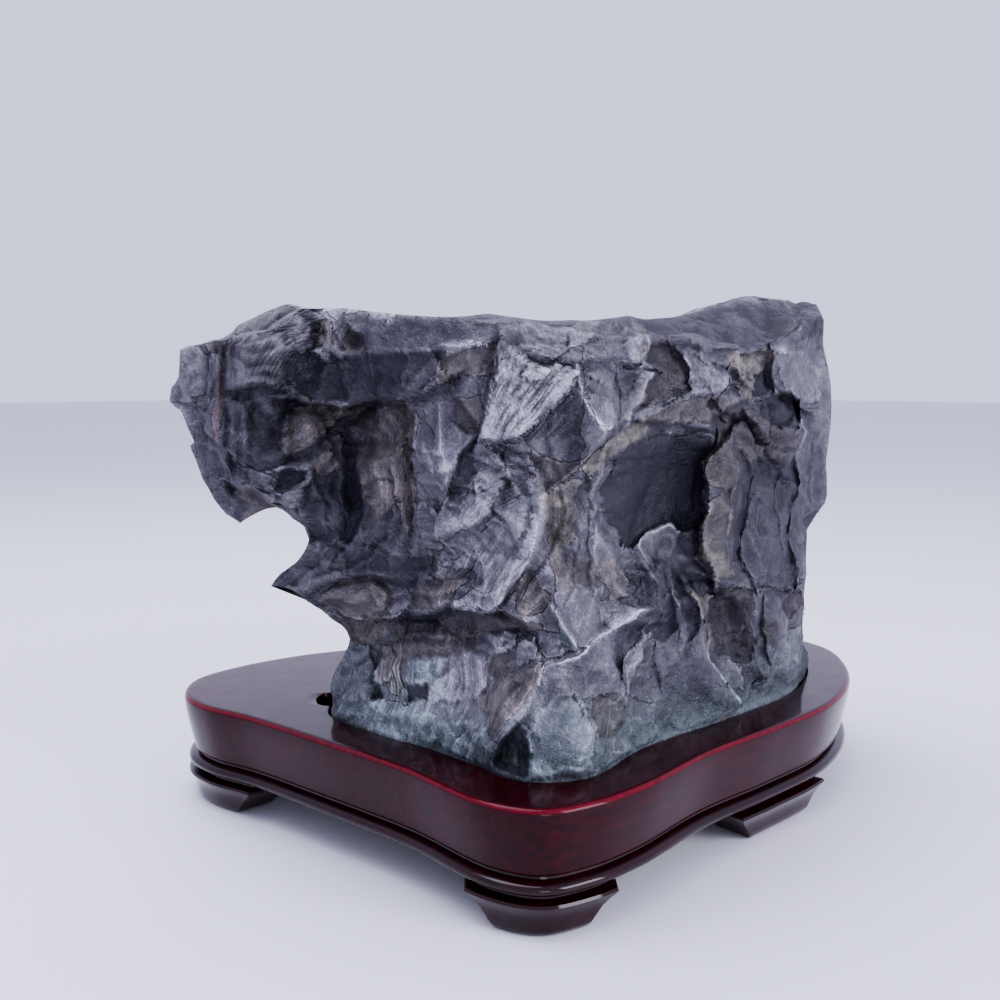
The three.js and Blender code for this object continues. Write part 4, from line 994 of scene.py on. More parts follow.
    (-0.35, -0.3, "red", [(784, 600), (800, 586), (803, 600), (791, 620), (784, 624)]),
    (0.4, 0, "teal", [(800, 622), (804, 636), (800, 660), (781, 680), (761, 695), (773, 670), (779, 640)]),
    (0.05, 0.3, "", [
        (546, 668), (580, 656), (600, 641), (607, 637), (618, 690), (600, 700), (575, 698), (551, 700),
        (540, 690),
    ]),
    (0.15, 0.5, "teal", [
        (551, 702), (566, 697), (586, 702), (592, 740), (588, 768), (560, 779), (533, 777), (528, 740),
        (532, 714),
    ]),
    (-0.4, -0.2, "brown", [(593, 700), (612, 691), (626, 706), (627, 722), (612, 740), (596, 738)]),
]


def depthInside(points, px, py):  # how far inside a loop of corners a pixel is, below nought outside
    inside = np.zeros(px.shape, bool)
    best = np.full(px.shape, np.inf)
    for (ax, ay), (bx, by) in zip(points, points[1:] + points[:1]):
        share = ((px - ax) * (bx - ax) + (py - ay) * (by - ay)) / ((bx - ax) ** 2 + (by - ay) ** 2)
        share = np.clip(share, 0, 1)
        best = np.minimum(best, np.hypot(ax + (bx - ax) * share - px, ay + (by - ay) * share - py))
        if ay != by:
            inside ^= ((ay > py) != (by > py)) & ((bx - ax) * (py - ay) / (by - ay) + ax > px)
    return np.where(inside, best, -best)


def layFacets(px, py, seen):  # the facets' relief, tone with painted shade and painted light in it, tints, and the gap to the nearest border
    rise, tone, border = np.zeros(px.shape), np.zeros(px.shape), np.full(px.shape, 9.0)
    tints = {name: np.zeros(px.shape) for name in ("brown", "olive", "teal", "red")}
    for shade, lift, tint, points in facets:
        corners = np.array(points)
        low, high = corners.min(0) - 6, corners.max(0) + 6
        near = (px > low[0]) & (px < high[0]) & (py > low[1]) & (py < high[1]) & (seen > 0)
        x, y = px[near], py[near]
        depth = depthInside(points, x, y)
        cover = smooth(depth, -1.0, 1.2)
        middle = corners.mean(0)
        slope = (y - middle[1]) * 0.02 * shade + (x - middle[0]) * 0.008 * lift
        rise[near] += cover * ((lift if lift > 0 else 0.6 * lift) * smooth(depth, -2.5, 3.5) + slope)
        facing = depth if lift >= 0 else -depth
        border[near] = np.where(np.abs(depth) < np.abs(border[near]), facing, border[near])
        blend = smooth(depth, -1.3, 1.3)
        tone[near] += (shade - tone[near]) * blend
        for name, layer in tints.items():
            layer[near] += (float(name == tint) - layer[near]) * blend
    return rise, {"tone": tone, "border": border, **tints}


# light lines along the rock's crests, pale dust and painted highlight: a line in px, its width in px, its
# strength
veins = [
    ([
        [540, 687], [543, 675], [548, 666], [560, 664], [575, 658], [587, 653], [598, 643], [607, 636],
        [614, 630], [620, 618], [626, 605],
    ], 6, 1.0),
    ([[551, 605], [560, 620], [578, 648]], 5, 0.8), ([[540, 660], [530, 690], [512, 716]], 5, 0.5),
    ([[576, 365], [580, 395], [590, 412], [600, 428]], 6, 0.8),
    ([[498, 346], [492, 395], [480, 434]], 5, 0.6),
    ([[627, 316], [640, 325], [645, 345], [646, 368]], 4, 0.7),
    ([[646, 368], [640, 400], [625, 424]], 6, 0.7),
    ([[575, 345], [600, 361], [635, 362], [646, 368]], 4, 0.6),
    ([[418, 418], [418, 440], [417, 460], [413, 480], [411, 530]], 4, 0.5),
    ([[704, 458], [712, 482], [703, 510], [702, 525], [703, 560], [712, 580]], 4, 0.8),
    ([[742, 465], [730, 490], [722, 515], [726, 545]], 4, 0.5),
    ([[645, 562], [645, 545], [652, 535], [672, 526], [682, 531]], 4, 0.7),
    ([[677, 575], [677, 600], [682, 630]], 4, 0.7),
    ([[690, 590], [700, 602], [700, 615], [712, 635], [712, 660]], 4, 0.7),
    ([[712, 658], [718, 670], [725, 682], [743, 705]], 5, 1.0),
    ([[641, 563], [640, 600], [641, 635], [628, 660]], 4, 0.5),
    ([[440, 346], [462, 345], [488, 342]], 5, 0.5),
    ([[270, 352], [300, 330], [312, 318]], 4, 0.4),
    ([[274, 482], [276, 468], [288, 462], [300, 470]], 3, 0.35),
    ([[645, 344], [662, 341], [680, 360], [684, 378]], 4, 0.6),
    ([[703, 575], [722, 583], [740, 588], [783, 590]], 4, 0.6),
    ([[800, 412], [806, 430], [800, 450], [795, 490]], 4, 0.6), ([[775, 352], [776, 390]], 4, 0.5),
    ([[608, 466], [600, 500], [606, 540], [600, 580]], 5, 0.5),
    ([[545, 492], [530, 560], [500, 590], [450, 606]], 4, 0.3),
    ([[384, 622], [402, 614], [430, 616], [448, 608], [480, 615], [505, 610]], 4, 0.5),
    ([[440, 400], [438, 430], [448, 470]], 8, 0.5),
    ([[302, 396], [320, 402], [340, 406], [366, 401], [400, 399]], 3, 0.5),
    ([[520, 724], [530, 740], [531, 778]], 4, 0.6),
    ([[590, 452], [560, 482], [542, 498]], 6, 0.6), ([[660, 433], [700, 433], [714, 438]], 3, 0.5),
    ([[578, 374], [560, 402], [518, 436]], 4, 0.7),
]


# broad shifts of the tone, partly the stone's own colour and partly painted shade and painted light over
# whole regions by how they face the light: middle and half size in px, and the shift
shadeAndToneRegions = [
    (290, 420, 130, 130, -0.12), (210, 420, 50, 80, -0.15), (360, 590, 70, 40, -0.1),
    (700, 318, 170, 40, -0.7), (800, 330, 60, 70, -0.35), (770, 500, 90, 140, -0.95),
    (440, 700, 130, 80, 0.75), (490, 520, 90, 130, 0.6), (720, 640, 120, 80, -0.35), (530, 390, 60, 60, 0.25),
    (430, 320, 150, 22, -0.2), (560, 720, 90, 60, 0.3),
]


def rockMasks(grid, px, py, seen, laid):  # the stone's tone from dark to pale, with painted shade and painted highlight in it, and what colours it
    normal = gridNormals(grid)
    near = np.sum((blurred(grid, 3) - grid) * normal, -1)
    wide = np.sum((blurred(grid, 26) - grid) * normal, -1)
    mottle = noiseAt(grid, 5.0, shift=17.0)
    broad = noiseAt(grid, 22.0, shift=40.0)
    elsewhere = {
        "brown": smooth(noiseAt(grid, 16.0, shift=51.0), 0.1, 0.45) * 0.7,
        "olive": smooth(noiseAt(grid, 13.0, shift=63.0), 0.18, 0.5) * 0.7,
        "red": smooth(noiseAt(grid, 9.0, shift=71.0), 0.4, 0.6) * 0.5,
    }
    masks = {name: elsewhere[name] * (1 - seen) + laid[name] * seen for name in elsewhere}
    low = 1 - smooth(grid[..., 2], 19, 32 + 10 * mottle)
    masks["teal"] = np.maximum(low, laid["teal"] * 0.7 * seen)
    glow, strong = np.zeros(px.shape), np.zeros(px.shape)
    dustAndHighlightLine, closest = np.full(px.shape, 9.0), np.full(px.shape, 9.0)
    for points, width, strength in veins:
        gap, side, _ = lineOffsets(points, px + 3 * mottle, py + 3 * mottle)
        glow = np.maximum(glow, strength * (1 - smooth(gap, width * 0.1, width * 0.65)))
        nearer = gap < closest
        dustAndHighlightLine, strong = np.where(nearer, side * gap, dustAndHighlightLine), np.where(nearer, strength, strong)
        closest = np.minimum(closest, gap)
    masks["dustAndHighlightLine"] = dustAndHighlightLine
    masks["dustAndHighlightLineShown"] = (1 - smooth(closest, 2.2, 4.0)) * strong * seen
    traced = seen > 0.5
    masks["border"] = np.where(traced, laid["border"], laid["joint"])
    close = 1 - smooth(np.abs(masks["border"]), np.where(traced, 2.4, 3), np.where(traced, 4.2, 6))
    masks["borderShown"] = close * smooth(grid[..., 2], 19, 24)
    # the shown tone holds painted shade and painted light from the facets and the broad regions, and painted
    # highlight along the light lines
    shownTone = laid["tone"] + swellingRelief(shadeAndToneRegions, px, py) + 0.55 * glow
    hiddenTone = np.clip(broad * 1.6, -0.6, 0.5) + 0.35 * laid["patch"]
    masks["tone"] = shownTone * seen + hiddenTone * (1 - seen) + 0.3 * mottle
    # pale dust and painted highlight on the crests, from how the surface bends
    masks["crestDustAndHighlight"] = np.clip(-near / 0.09, 0, 1) * 0.55 + np.clip(-wide / 0.9, 0, 1) * 0.25
    # painted shade in the hollows, near and wide
    masks["hollowShade"] = np.clip(near / 0.1, 0, 1) * 0.45 + np.clip(wide / 0.9, 0, 1) * 0.55
    masks["strandPhase"], masks["strandDepth"] = strandMasks(px, py, grid, seen)
    return masks


def buildRock():
    print("stone: shaping")
    grid, px, py, seen, laid = carveRock(rockGrid())
    rings, columns = grid.shape[:2]
    masks = rockMasks(grid, px, py, seen, laid)
    bm = bmesh.new()
    bmesh.ops.create_uvsphere(bm, u_segments=columns, v_segments=rings + 1, radius=1)
    layers = {k: bm.verts.layers.float.new(k) for k in masks}
    for v in bm.verts:
        ring = rings + 1 - round(math.acos(max(-1, min(1, v.co.z))) / math.pi * (rings + 1))
        if ring in (0, rings + 1):
            ring = min(max(ring - 1, 0), rings - 1)
            v.co = Vector(grid[ring].mean(0).tolist()) * mm
            continue
        spot = round(math.atan2(v.co.y, v.co.x) / (2 * math.pi) * columns) % columns
        v.co = Vector(grid[ring - 1, spot].tolist()) * mm
        for k, layer in layers.items():
            v[layer] = masks[k][ring - 1, spot]
    mesh = bpy.data.meshes.new("craggyStone")
    bm.to_mesh(mesh)
    bm.free()
    mesh.shade_smooth()
    stone = bpy.data.objects.new("craggyStone", mesh)
    bpy.context.scene.collection.objects.link(stone)
    print("stone:", len(mesh.polygons), "faces")
    return stone


stone = buildRock()
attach(stone, "root")
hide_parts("stone")

# the stand's outline, traced where it shows and completed in like waves behind the rock
standOutline = [
    (-47.4, -36), (-44, -43.4), (-37, -46.4), (-27, -47.3), (-9, -45.9), (8, -46.7), (25, -46.5), (40, -42.4),
    (53, -34.8), (61.4, -26), (64.5, -12), (63.4, 4), (64.3, 20), (60.3, 34), (50, 43.4), (36, 46.8),
    (20, 44.6), (4, 42), (-8, 42.6), (-19, 46), (-33, 47.4), (-44, 45), (-50.4, 37), (-51.6, 29), (-49.6, 18),
    (-48, 0), (-46.8, -18),
]


class Outline:  # points round the stand by their share of its length, and the outward direction there
    def __init__(self, corners):
        dense = np.linspace(0, len(corners), 4000, endpoint=False)
        rows = np.array([(x, y, 0.0) for x, y in corners])[:, None, :]
        self.points = splineThrough(rows, dense)[:, 0, :2]
        step = np.linalg.norm(np.roll(self.points, -1, 0) - self.points, axis=1)
        self.length = np.concatenate([[0], np.cumsum(step)])

    def at(self, share):
        lengths = (share % 1.0) * self.length[-1]
        closed = np.vstack([self.points, self.points[:1]])
        return np.stack([np.interp(lengths, self.length, closed[:, k]) for k in (0, 1)], -1)

    def outward(self, share):
        way = self.at(share + 0.0012) - self.at(share - 0.0012)
        way /= np.linalg.norm(way, axis=-1, keepdims=True)
        return np.stack([way[..., 1], -way[..., 0]], -1)

    def ring(self, share, out, z):
        flat = self.at(share) + self.outward(share) * out
        return np.column_stack([flat, np.full(len(flat), z)])


outline = Outline(standOutline)
# the top board carries a band of rubbed wear and painted highlight along its rounded top edge
topBoard = {
    "points": 360, "bottom": 8.6, "height": 10.0, "seatRoom": 0.4, "seatLip": 0.15,
    "wornAndHighlightAt": 0.965, "wornAndHighlightReach": 0.035,
}
beadBoard = {"points": 360, "bottom": 6.0, "height": 2.6}
seatSlip = {"at": (-33.6, 16.6), "size": (4.2, 2.6), "turn": 0.9}
seatMiddle = np.array([4.0, -10.0])
feet = {"front": 0.022, "rightFront": 0.175, "rightEnd": 0.36, "back": 0.585, "left": 0.82}
footShape = {"stretch": 0.0335, "depth": 9.0, "arc": 25}


def quarter(start, end, steps, bulge):  # points of a rounded edge between two points, as (out, up)
    ways = [k / steps * math.pi / 2 for k in range(steps + 1)]
    shares = [(1 - math.cos(a), math.sin(a)) for a in ways]
    if bulge == "side":
        shares = [(math.sin(a), 1 - math.cos(a)) for a in ways]
    ends = list(zip(start, end))
    return [(between(ends[0], out), between(ends[1], up)) for out, up in shares]


def stackRings(name, rings):  # a closed form drawn up through rings of points
    count = len(rings[0])
    bm = bmesh.new()
    bmesh.ops.create_circle(bm, segments=count, radius=1)
    order = bm.verts.layers.int.new("spot")
    bm.verts.layers.float.new("wornAndHighlight")
    for i, v in enumerate(bm.verts):
        v[order] = i
        v.co = Vector(rings[0][i].tolist()) * mm
    edges = list(bm.edges)
    bmesh.ops.contextual_create(bm, geom=edges)
    for ring in rings[1:]:
        made = bmesh.ops.extrude_edge_only(bm, edges=edges)["geom"]
        edges = [g for g in made if isinstance(g, bmesh.types.BMEdge)]
        for v in {v for e in edges for v in e.verts}:
            v.co = Vector(ring[v[order]].tolist()) * mm
    bmesh.ops.contextual_create(bm, geom=edges)
    bmesh.ops.recalc_face_normals(bm, faces=bm.faces)
    mesh = bpy.data.meshes.new(name)
    bm.to_mesh(mesh)
    bm.free()
    mesh.shade_smooth()
    mesh.set_sharp_from_angle(angle=math.radians(32))
    piece = bpy.data.objects.new(name, mesh)
    bpy.context.scene.collection.objects.link(piece)
    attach(piece, "root")
    return piece


def seatRing(share, z):  # the carved seat's edge, met by lines from its middle to the outline's points
    foot = sidePoints(np.linspace(0, len(rockEdges), 720, endpoint=False), np.array([0.0]))[0, :, :2]
    way = np.roll(foot, -1, 0) - np.roll(foot, 1, 0)
    way /= np.linalg.norm(way, axis=1, keepdims=True)
    foot = foot + np.stack([way[:, 1], -way[:, 0]], -1) * topBoard["seatRoom"] - seatMiddle
    angle, reach = np.arctan2(foot[:, 1], foot[:, 0]), np.linalg.norm(foot, axis=1)
    sort = np.argsort(angle)
    toRim = outline.at(share) - seatMiddle
    wanted = np.arctan2(toRim[:, 1], toRim[:, 0])
    radius = np.interp(wanted, angle[sort], reach[sort], period=2 * math.pi)
    ray = np.stack([np.cos(wanted), np.sin(wanted)], -1)
    turn = seatSlip["turn"]
    local = np.array([[math.cos(turn), math.sin(turn)], [-math.sin(turn), math.cos(turn)]])
    start = (local @ (seatMiddle - np.array(seatSlip["at"]))) / np.array(seatSlip["size"])
    go = (ray @ local.T) / np.array(seatSlip["size"])
    a, b, c = np.sum(go * go, 1), go @ start, start @ start - 1
    inside = b * b - a * c
    far = np.where(inside > 0, (-b + np.sqrt(np.maximum(inside, 0))) / a, 0)
    radius = np.maximum(radius, far)
    return np.column_stack([seatMiddle + ray * radius[:, None], np.full(len(radius), z)])


def buildTopBoard():
    share = np.linspace(0, 1, topBoard["points"], endpoint=False)
    low, high = topBoard["bottom"], topBoard["bottom"] + topBoard["height"]
    profile = [(-2.6, 0.0)]
    profile += quarter((-2.2, 0.0), (-1.6, 0.6), 4, "side")[1:] + [(-1.15, 2.5), (-0.6, 5.0), (-0.2, 7.2)]
    profile += quarter((-0.02, 9.1), (-0.95, 10.0), 6, "up")
    rings = [outline.ring(share, out, low + up) for out, up in profile]
    rim, seat = rings[-1], seatRing(share, high)
    rings += [rim + (seat - rim) * k for k in (0.03, 0.1, 0.3, 0.6, 0.9, 0.985)]
    lip = seat.copy()
    lip[:, 2] -= topBoard["seatLip"]
    rings += [lip]
    floorRing = seat.copy()
    floorRing[:, 2] = rock["seatFloor"]
    rings += [floorRing]
    board = stackRings("lacqueredTop", rings)
    # the band of rubbed wear and painted highlight along the rounded top edge
    values = np.zeros(len(board.data.vertices))
    for i, v in enumerate(board.data.vertices):
        rimHeight = (v.co.z / mm - low) / topBoard["height"]
        if i // topBoard["points"] < len(profile) + 1:
            values[i] = max(0.0, 1 - abs(rimHeight - topBoard["wornAndHighlightAt"]) / topBoard["wornAndHighlightReach"])
    board.data.attributes["wornAndHighlight"].data.foreach_set("value", values)
    return board


def buildBeadBoard():
    share = np.linspace(0, 1, beadBoard["points"], endpoint=False)
    low = beadBoard["bottom"]
    ways = np.linspace(0.12, math.pi - 0.35, 11)
    bead = [(-1.9 + 1.35 * math.sin(a), 1.05 - 0.95 * math.cos(a)) for a in ways]
    profile = [(-3.2, 0.0), (-2.6, 0.0)] + bead + [(-2.3, 2.15), (-2.4, 2.6), (-3.2, 2.6)]
    return stackRings("moulding", [outline.ring(share, out, low + up) for out, up in profile])


def buildFoot(name, middle):
    profile = [
        (0.0, -2.9, 0.62), (0.25, -2.35, 0.655), (0.9, -1.9, 0.69), (1.8, -1.75, 0.755), (2.8, -1.6, 0.83),
        (3.7, -1.2, 0.92), (4.3, -0.75, 0.975), (4.75, -0.5, 1.0), (5.1, -0.75, 1.0), (5.25, -1.5, 0.985),
        (5.4, -2.3, 0.96), (6.0, -2.4, 0.955),
    ]
    inward = -outline.outward(np.array([middle]))[0]
    rings = []
    for up, out, wide in profile:
        half = footShape["stretch"] * wide
        front = outline.ring(middle + np.linspace(-half, half, footShape["arc"]), out, up)
        shift = np.array([*(inward * (footShape["depth"] + out)), 0.0])
        back = [front[-1] + shift, front[0] + shift]
        rings.append(np.vstack([front, back]))
    return stackRings(name, rings)


print("stand: building")
standTop = buildTopBoard()
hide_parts("stand_top_board")
moulding = buildBeadBoard()
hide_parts("stand_bead_board")
cadFeet = {
    "front": "foot_front", "rightFront": "foot_right_front", "rightEnd": "foot_right_end",
    "back": "foot_back", "left": "foot_left",
}
footPieces = []
for name, middle in feet.items():
    piece = buildFoot(name + "Foot", middle)
    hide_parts(cadFeet[name])
    footPieces.append(piece)


# materials: small helpers, the groups that several finishes share, then each finish
def addNode(tree, kind, name="", **values):
    node = tree.nodes.new(kind)
    node.label = name
    for key, value in values.items():
        setattr(node, key, value)
    return node


def setInputs(node, **values):
    for key, value in values.items():
        node.inputs[key.replace("_", " ")].default_value = value
    return node


def newGroup(name, inputs, outputs):
    group = bpy.data.node_groups.new(name, "ShaderNodeTree")
    for label, kind, value in inputs:
        socket = group.interface.new_socket(label, in_out="INPUT", socket_type=kind)
        if value is not None:
            socket.default_value = value
    for label, kind in outputs:
        group.interface.new_socket(label, in_out="OUTPUT", socket_type=kind)
    return group, group.nodes.new("NodeGroupInput"), group.nodes.new("NodeGroupOutput")


def buildMottleGroup():  # soft patches of a value between 0 and 1
    group, entry, leave = newGroup(
        "mottle",
        [
            ("Place", "NodeSocketVector", None), ("Size", "NodeSocketFloat", 100.0),
            ("Low", "NodeSocketFloat", 0.4), ("High", "NodeSocketFloat", 0.6),
        ],
        [("Amount", "NodeSocketFloat")],
    )
    cloud = setInputs(addNode(group, "ShaderNodeTexNoise"), Detail=3.0, Roughness=0.6)
    spread = addNode(group, "ShaderNodeMapRange")
    spread.interpolation_type = "SMOOTHSTEP"
    group.links.new(entry.outputs["Place"], cloud.inputs["Vector"])
    group.links.new(entry.outputs["Size"], cloud.inputs["Scale"])
    group.links.new(cloud.outputs["Fac"], spread.inputs["Value"])
    group.links.new(entry.outputs["Low"], spread.inputs["From Min"])
    group.links.new(entry.outputs["High"], spread.inputs["From Max"])
    group.links.new(spread.outputs["Result"], leave.inputs["Amount"])
    return group


def buildDustGroup():  # pale dust and wear, and the rim's painted highlight: a mask broken up by fine grain
    group, entry, leave = newGroup(
        "dustWearAndHighlight",
        [
            ("Place", "NodeSocketVector", None), ("Mask", "NodeSocketFloat", 0.0),
            ("Grain", "NodeSocketFloat", 900.0), ("Break up", "NodeSocketFloat", 0.5),
        ],
        [("Amount", "NodeSocketFloat")],
    )
    grain = setInputs(addNode(group, "ShaderNodeTexNoise"), Detail=2.0, Roughness=0.7)
    shift = addNode(group, "ShaderNodeMath", operation="SUBTRACT")
    shift.inputs[1].default_value = 0.5
    scaled = addNode(group, "ShaderNodeMath", operation="MULTIPLY")
    total = addNode(group, "ShaderNodeMath", operation="MULTIPLY_ADD")
    total.use_clamp = True
    group.links.new(entry.outputs["Place"], grain.inputs["Vector"])
    group.links.new(entry.outputs["Grain"], grain.inputs["Scale"])
    group.links.new(grain.outputs["Fac"], shift.inputs[0])
    group.links.new(shift.outputs[0], scaled.inputs[0])
    group.links.new(entry.outputs["Break up"], scaled.inputs[1])
    double = addNode(group, "ShaderNodeMath", operation="ADD")
    double.inputs[1].default_value = 1.0
    twice = addNode(group, "ShaderNodeMath", operation="MULTIPLY")
    twice.inputs[1].default_value = 3.0
    group.links.new(scaled.outputs[0], twice.inputs[0])
    group.links.new(twice.outputs[0], double.inputs[0])
    group.links.new(entry.outputs["Mask"], total.inputs[0])
    group.links.new(double.outputs[0], total.inputs[1])
    total.inputs[2].default_value = 0.0
    group.links.new(total.outputs[0], leave.inputs["Amount"])
    return group


mottleGroup = buildMottleGroup()
dustGroup = buildDustGroup()


class Finish:  # a material's tree with the steps that its colours are laid in
    def __init__(self, name):
        self.material = bpy.data.materials.new(name)
        self.material.use_nodes = True
        self.tree = self.material.node_tree
        self.shader = self.tree.nodes["Principled BSDF"]
        self.place = addNode(self.tree, "ShaderNodeTexCoord").outputs["Object"]

    def link(self, start, end):
        self.tree.links.new(start, end)
        return start

    def mask(self, name):
        return addNode(self.tree, "ShaderNodeAttribute", name, attribute_name=name).outputs["Fac"]

    def mottle(self, size, low, high, place=None):
        node = addNode(self.tree, "ShaderNodeGroup", "mottle", node_tree=mottleGroup)
        setInputs(node, Size=size, Low=low, High=high)
        self.link(place or self.place, node.inputs["Place"])
        return node.outputs["Amount"]

    def dust(self, mask, grain, breakUp):
        node = addNode(self.tree, "ShaderNodeGroup", "dust", node_tree=dustGroup)
        setInputs(node, Grain=grain, Break_up=breakUp)
        self.link(self.place, node.inputs["Place"])
        self.link(mask, node.inputs["Mask"])
        return node.outputs["Amount"]

    def math(self, kind, a, b=0.0, clamp=False):
        node = addNode(self.tree, "ShaderNodeMath", operation=kind, use_clamp=clamp)
        for socket, value in zip(node.inputs, (a, b)):
            if isinstance(value, (int, float)):
                socket.default_value = value
            else:
                self.link(value, socket)
        return node.outputs[0]

    def mix(self, share, a, b, kind="MIX"):
        node = addNode(self.tree, "ShaderNodeMix", data_type="RGBA", blend_type=kind)
        for socket, value in ((node.inputs[0], share), (node.inputs[6], a), (node.inputs[7], b)):
            if isinstance(value, (int, float)):
                socket.default_value = value
            elif isinstance(value, tuple):
                socket.default_value = (*value, 1)
            else:
                self.link(value, socket)
        return node.outputs[2]

    def bump(self, height, distance, strength, normal=None):
        node = setInputs(addNode(self.tree, "ShaderNodeBump"), Strength=strength, Distance=distance)
        self.link(height, node.inputs["Height"])
        if normal:
            self.link(normal, node.inputs["Normal"])
        return node.outputs["Normal"]

    def cracks(self, size, width, bend=0.012):  # thin lines between broken grains: 1 on the line
        warp = addNode(self.tree, "ShaderNodeTexNoise")
        setInputs(warp, Scale=size * 1.3, Detail=3.0, Roughness=0.65)
        self.link(self.place, warp.inputs["Vector"])
        push = addNode(self.tree, "ShaderNodeVectorMath", operation="MULTIPLY_ADD")
        push.inputs[1].default_value = (bend, bend, bend)
        self.link(warp.outputs["Color"], push.inputs[0])
        self.link(self.place, push.inputs[2])
        cell = setInputs(addNode(self.tree, "ShaderNodeTexVoronoi", feature="DISTANCE_TO_EDGE"), Scale=size)
        self.link(push.outputs["Vector"], cell.inputs["Vector"])
        line = addNode(self.tree, "ShaderNodeMapRange", interpolation_type="SMOOTHSTEP")
        setInputs(line, From_Min=0.0, From_Max=width, To_Min=1.0, To_Max=0.0)
        self.link(cell.outputs["Distance"], line.inputs["Value"])
        return line.outputs["Result"]

    def ridge(self, gap, at, reach):  # a thin line where the gap has a value: 1 on the line
        off = self.math("ABSOLUTE", self.math("SUBTRACT", gap, at))
        return self.math("SUBTRACT", 1.0, self.math("DIVIDE", off, reach), clamp=True)

    def noise(self, size, detail=4.0, rough=0.6, place=None, kind="FBM"):
        node = addNode(self.tree, "ShaderNodeTexNoise", noise_type=kind)
        setInputs(node, Scale=size, Detail=detail, Roughness=rough)
        self.link(place or self.place, node.inputs["Vector"])
        return node.outputs["Fac"]


# the stone's greys by tone, from the blue-black of its hollows, deepened by painted shade, to the pale dust
# and painted highlight on its edges, and its tints
stoneGreys = [
    (0.0, (0.017, 0.0162, 0.026)), (0.2, (0.038, 0.0355, 0.049)), (0.42, (0.072, 0.068, 0.084)),
    (0.58, (0.116, 0.11, 0.131)), (0.74, (0.187, 0.179, 0.207)), (0.88, (0.3, 0.288, 0.33)),
    (1.0, (0.46, 0.445, 0.5)),
]
stoneTints = {
    "brown": (1.04, 0.92, 0.77), "olive": (1.08, 1.0, 0.72),
    "teal": (0.78, 1.02, 0.94), "red": (1.12, 0.84, 0.78),
}
# how much each mark lightens or darkens the stone; the pale marks on crests, edges and light lines are dust
# and painted highlight, the hollow mark is painted shade, and the joint lines are dark joints and painted
# shade
stoneMarks = {
    "laidTone": 0.42, "crestDustAndHighlight": 0.2, "hollowShade": -0.15, "strands": 0.36, "clouds": 0.1, "smallClouds": 0.08,
    "grain": 0.62, "specks": 0.16, "wideCracks": 0.2, "fineCracks": 0.1, "gapLines": -0.26, "litEdges": 0.17,
    "veins": 0.42,
}
# bumps in the stone's surface: depth in m, strength
stoneBumps = {
    "lumps": (0.0012, 0.7), "ridges": (0.0004, 0.6), "grit": (0.0003, 0.6), "strands": (0.0003, 1.0),
    "cracks": (-0.0003, 0.6), "gapLines": (-0.0003, 0.8),
}


